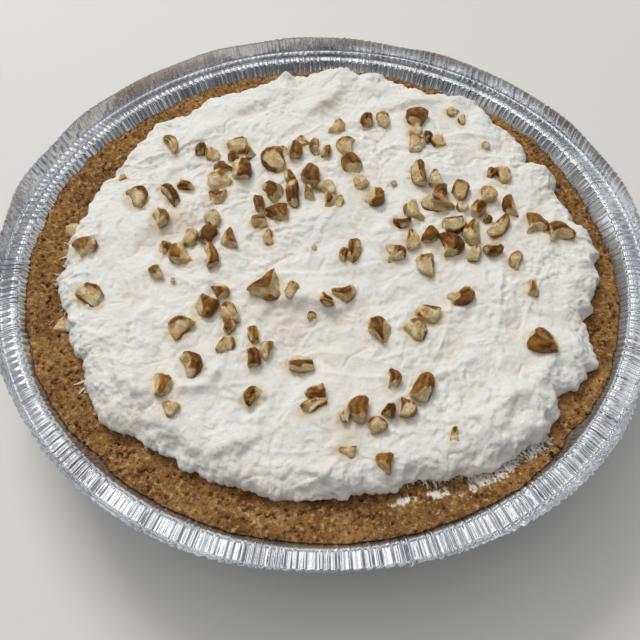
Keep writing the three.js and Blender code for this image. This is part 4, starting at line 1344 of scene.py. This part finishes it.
def make_crumbs(material, crust_tree):
    """Crumbs that lie loose on the crust's rough top, half sunk in it."""
    ball, ball_faces = unit_ball(1)
    points, faces = [], []
    for index in range(LOOSE_CRUMBS):
        draw = draws(index, 121, 3)
        angle = FULL_TURN * draw[0]
        edge = float(cream_edge(angle))
        width = float(crust_outside(crust_rim(angle))) - 1.6 - edge
        out = edge + 0.8 + width * draw[1]
        hit = look_down(crust_tree, out * math.cos(angle), out * math.sin(angle))
        if hit is None or hit[2] < LOWEST_CRUMB:
            continue
        size = 0.22 + 0.5 * draw[2] ** 3
        stretch = 0.7 + 0.6 * scatter(index + np.arange(3) * 1000, 124)
        bumpy = 1 + 0.3 * noise(ball * 1.1 + index * 9.7, 1.0, 125)
        faces.append(ball_faces + len(points) * len(ball))
        points.append(hit + [0, 0, size * 0.15] + ball * bumpy[:, None] * stretch * size)
    return make_piece(
        "loose_crumbs", material, np.concatenate(points), faces, {"pore": 0.0, "smear": 0.0})


def wisp_path(draw, low, high, reach, crust_tree):
    """Points of one thin strand of cream, from the cream's edge out over the crust."""
    angle = math.radians(low + (high - low) * draw[0])
    start = float(ragged_edge(np.array([angle]))[0]) - 0.6
    x, y = start * math.cos(angle), start * math.sin(angle)
    heading = angle + 1.1 * (draw[1] - 0.5) + (0.7 if draw[2] > 0.75 else 0)
    stride = reach * (0.35 + 0.65 * draw[3]) / (WISP_STEPS - 1)
    path = []
    for step in range(WISP_STEPS):
        share = step / (WISP_STEPS - 1)
        hit = look_down(crust_tree, x, y)
        floor = CRUST_TOP if hit is None else hit[2]
        path.append([x, y, floor + 0.15 + 0.9 * (1 - share) ** 2 + 0.35 * draw[5] * share])
        heading += 0.25 * (draw[4] - 0.5)
        x, y = x + stride * math.cos(heading), y + stride * math.sin(heading)
    return np.array(path)


def make_wisps(material, crust_tree):
    """Thin strands of cream that hang over the crust."""
    points, faces = [], []
    turn = np.arange(WISP_SIDES) / WISP_SIDES * FULL_TURN
    zones = [zone for zone in WISP_ZONES for _ in range(zone[2])]
    for index, (low, high, _, reach) in enumerate(zones):
        draw = draws(index, 161, 7)
        path = wisp_path(draw, low, high, reach, crust_tree)
        along = np.gradient(path, axis=0)
        along /= np.linalg.norm(along, axis=1, keepdims=True)
        side = np.cross(along, [0, 0, 1.0])
        side /= np.linalg.norm(side, axis=1, keepdims=True)
        above = np.cross(side, along)
        thick = 0.17 + 0.4 * draw[6] ** 2
        taper = thick * np.linspace(1.1, 0.35, WISP_STEPS) * (1 + 0.6 * noise(path, 1.2, 166))
        round_it = np.cos(turn)[:, None] * side[:, None] + np.sin(turn)[:, None] * above[:, None]
        tube, (quads, ends) = ring_body(path[:, None] + taper[:, None, None] * round_it, path[0], path[-1])
        start = index * len(tube)
        faces += [start + quads[:, [0, 1, 2]], start + quads[:, [0, 2, 3]], start + ends]
        points.append(tube)
    return make_piece("cream_wisps", material, np.concatenate(points), faces, {"hollow": 0.0})


# ---------------------------------------------------------------- build everything

foil = foil_material()
crumb = crumb_material()
cream = cream_material()
nut = pecan_material()

tin_piece = make_tin(foil)
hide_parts("foil_tin")
crust_piece = make_crust(crumb)
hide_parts("crumb_crust")
cream_piece = make_cream(cream)
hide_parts("whipped_cream")
pecan_piece = make_pecans(nut)
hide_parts(*[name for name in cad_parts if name.startswith("pecan_")])

crust_tree = BVHTree.FromPolygons(
    [v.co for v in crust_piece.data.vertices], [p.vertices for p in crust_piece.data.polygons])
make_crumbs(crumb, crust_tree)
make_wisps(cream, crust_tree)

# ---------------------------------------------------------------- floor, light and camera

FLOOR_REACH = 8.0
FLOOR_DROP = 0.0002
MIDDLE = (0, 0, 0.03)
WHITE = (1.0, 1.0, 1.0)
# Lamps in metres: name, place, target, size, watts, colour, and whether reflections show it
# and surfaces are lit by it.
LAMPS = [
    ("key", (-0.6, 1.2, 1.44), MIDDLE, (0.8, 0.6), 21.4, (1.0, 0.985, 0.96), False, True),
    ("fill", (0.0, -0.2, 1.2), MIDDLE, (1.8, 1.8), 0.5, (0.97, 0.99, 1.0), False, True),
    ("overhead 0", (-0.46, 0.07, 1.0), (-0.46, 0.07, 0.03), (0.3, 1.3), 2.6, WHITE, True, True),
    ("overhead 1", (0.0, 0.07, 1.0), (0.0, 0.07, 0.03), (0.3, 1.3), 1.45, WHITE, True, True),
    ("overhead 2", (0.46, 0.07, 1.0), (0.46, 0.07, 0.03), (0.3, 1.3), 0.9, WHITE, True, True),
    ("back card", (0, 1.2, 0.55), MIDDLE, (2.2, 0.5), 2.0, (0.94, 0.97, 1.0), True, False),
    ("left card", (-1.2, 0.75, 0.35), MIDDLE, (1.3, 0.9), 3.6, (0.95, 0.97, 1.0), True, False),
    ("right card", (1.2, 0.75, 0.35), MIDDLE, (1.3, 0.9), 1.9, (0.95, 0.97, 1.0), True, False),
]
CAMERA_ELEVATION = math.radians(56.9)
CAMERA_ROLL = math.radians(-0.39)
CAMERA_TARGET = Vector((-1.3, -33.84, 31.0))
CAMERA_DISTANCE = 214.15
CAMERA_LENS = 36.06


def make_floor():
    corners = [(-1, -1, 0), (1, -1, 0), (1, 1, 0), (-1, 1, 0)]
    mesh = bpy.data.meshes.new("floor")
    mesh.from_pydata([Vector(corner) * FLOOR_REACH for corner in corners], [], [(0, 1, 2, 3)])
    floor = bpy.data.objects.new("floor", mesh)
    bpy.context.scene.collection.objects.link(floor)
    floor.location.z = -FLOOR_DROP
    mesh.materials.append(floor_material())


def add_light(name, place, target, size, watts, tint, in_reflections, on_surfaces):
    light = bpy.data.lights.new(name, "AREA")
    light.shape = "RECTANGLE"
    light.size, light.size_y = size
    light.energy = watts
    light.color = tint
    lamp = bpy.data.objects.new(name, light)
    lamp.location = place
    lamp.rotation_euler = (Vector(target) - Vector(place)).to_track_quat("-Z", "Y").to_euler()
    lamp.visible_glossy = in_reflections
    lamp.visible_diffuse = on_surfaces
    bpy.context.scene.collection.objects.link(lamp)


def make_world():
    """Soft light from all round, with a dark room behind the camera."""
    world = bpy.data.worlds.new("studio")
    world.use_nodes = True
    nodes, links = world.node_tree.nodes, world.node_tree.links
    background = nodes["Background"]
    place = nodes.new("ShaderNodeTexCoord")
    facing = nodes.new("ShaderNodeVectorMath")
    facing.operation = "DOT_PRODUCT"
    facing.inputs[1].default_value = (0, -0.78, 0.626)
    links.new(place.outputs["Generated"], facing.inputs[0])
    strength = nodes.new("ShaderNodeMapRange")
    strength.interpolation_type = "SMOOTHSTEP"
    strength.inputs["From Min"].default_value = 0.72
    strength.inputs["From Max"].default_value = 0.95
    strength.inputs["To Min"].default_value = 0.2
    strength.inputs["To Max"].default_value = 0.07
    links.new(facing.outputs["Value"], strength.inputs["Value"])
    links.new(strength.outputs["Result"], background.inputs["Strength"])
    background.inputs["Color"].default_value = (0.93, 0.96, 1.0, 1)
    bpy.context.scene.world = world


def make_camera():
    """A camera that looks down at the pie from the front."""
    back = Vector((0, -math.cos(CAMERA_ELEVATION), math.sin(CAMERA_ELEVATION)))
    place = CAMERA_TARGET + back * CAMERA_DISTANCE
    right = Vector((1, 0, 0))
    up = back.cross(right)
    tilted_right = right * math.cos(CAMERA_ROLL) + up * math.sin(CAMERA_ROLL)
    tilted_up = up * math.cos(CAMERA_ROLL) - right * math.sin(CAMERA_ROLL)
    camera = bpy.data.objects.new("camera", bpy.data.cameras.new("camera"))
    camera.data.lens = CAMERA_LENS
    camera.data.sensor_width = 36.0
    camera.data.clip_start = 0.01
    rotation = Matrix((tilted_right, tilted_up, back)).transposed()
    camera.matrix_world = Matrix.Translation(place * MM) @ rotation.to_4x4()
    bpy.context.scene.collection.objects.link(camera)
    bpy.context.scene.camera = camera


make_floor()
make_world()
for lamp_row in LAMPS:
    add_light(*lamp_row)
make_camera()
bpy.context.scene.view_settings.view_transform = "Standard"
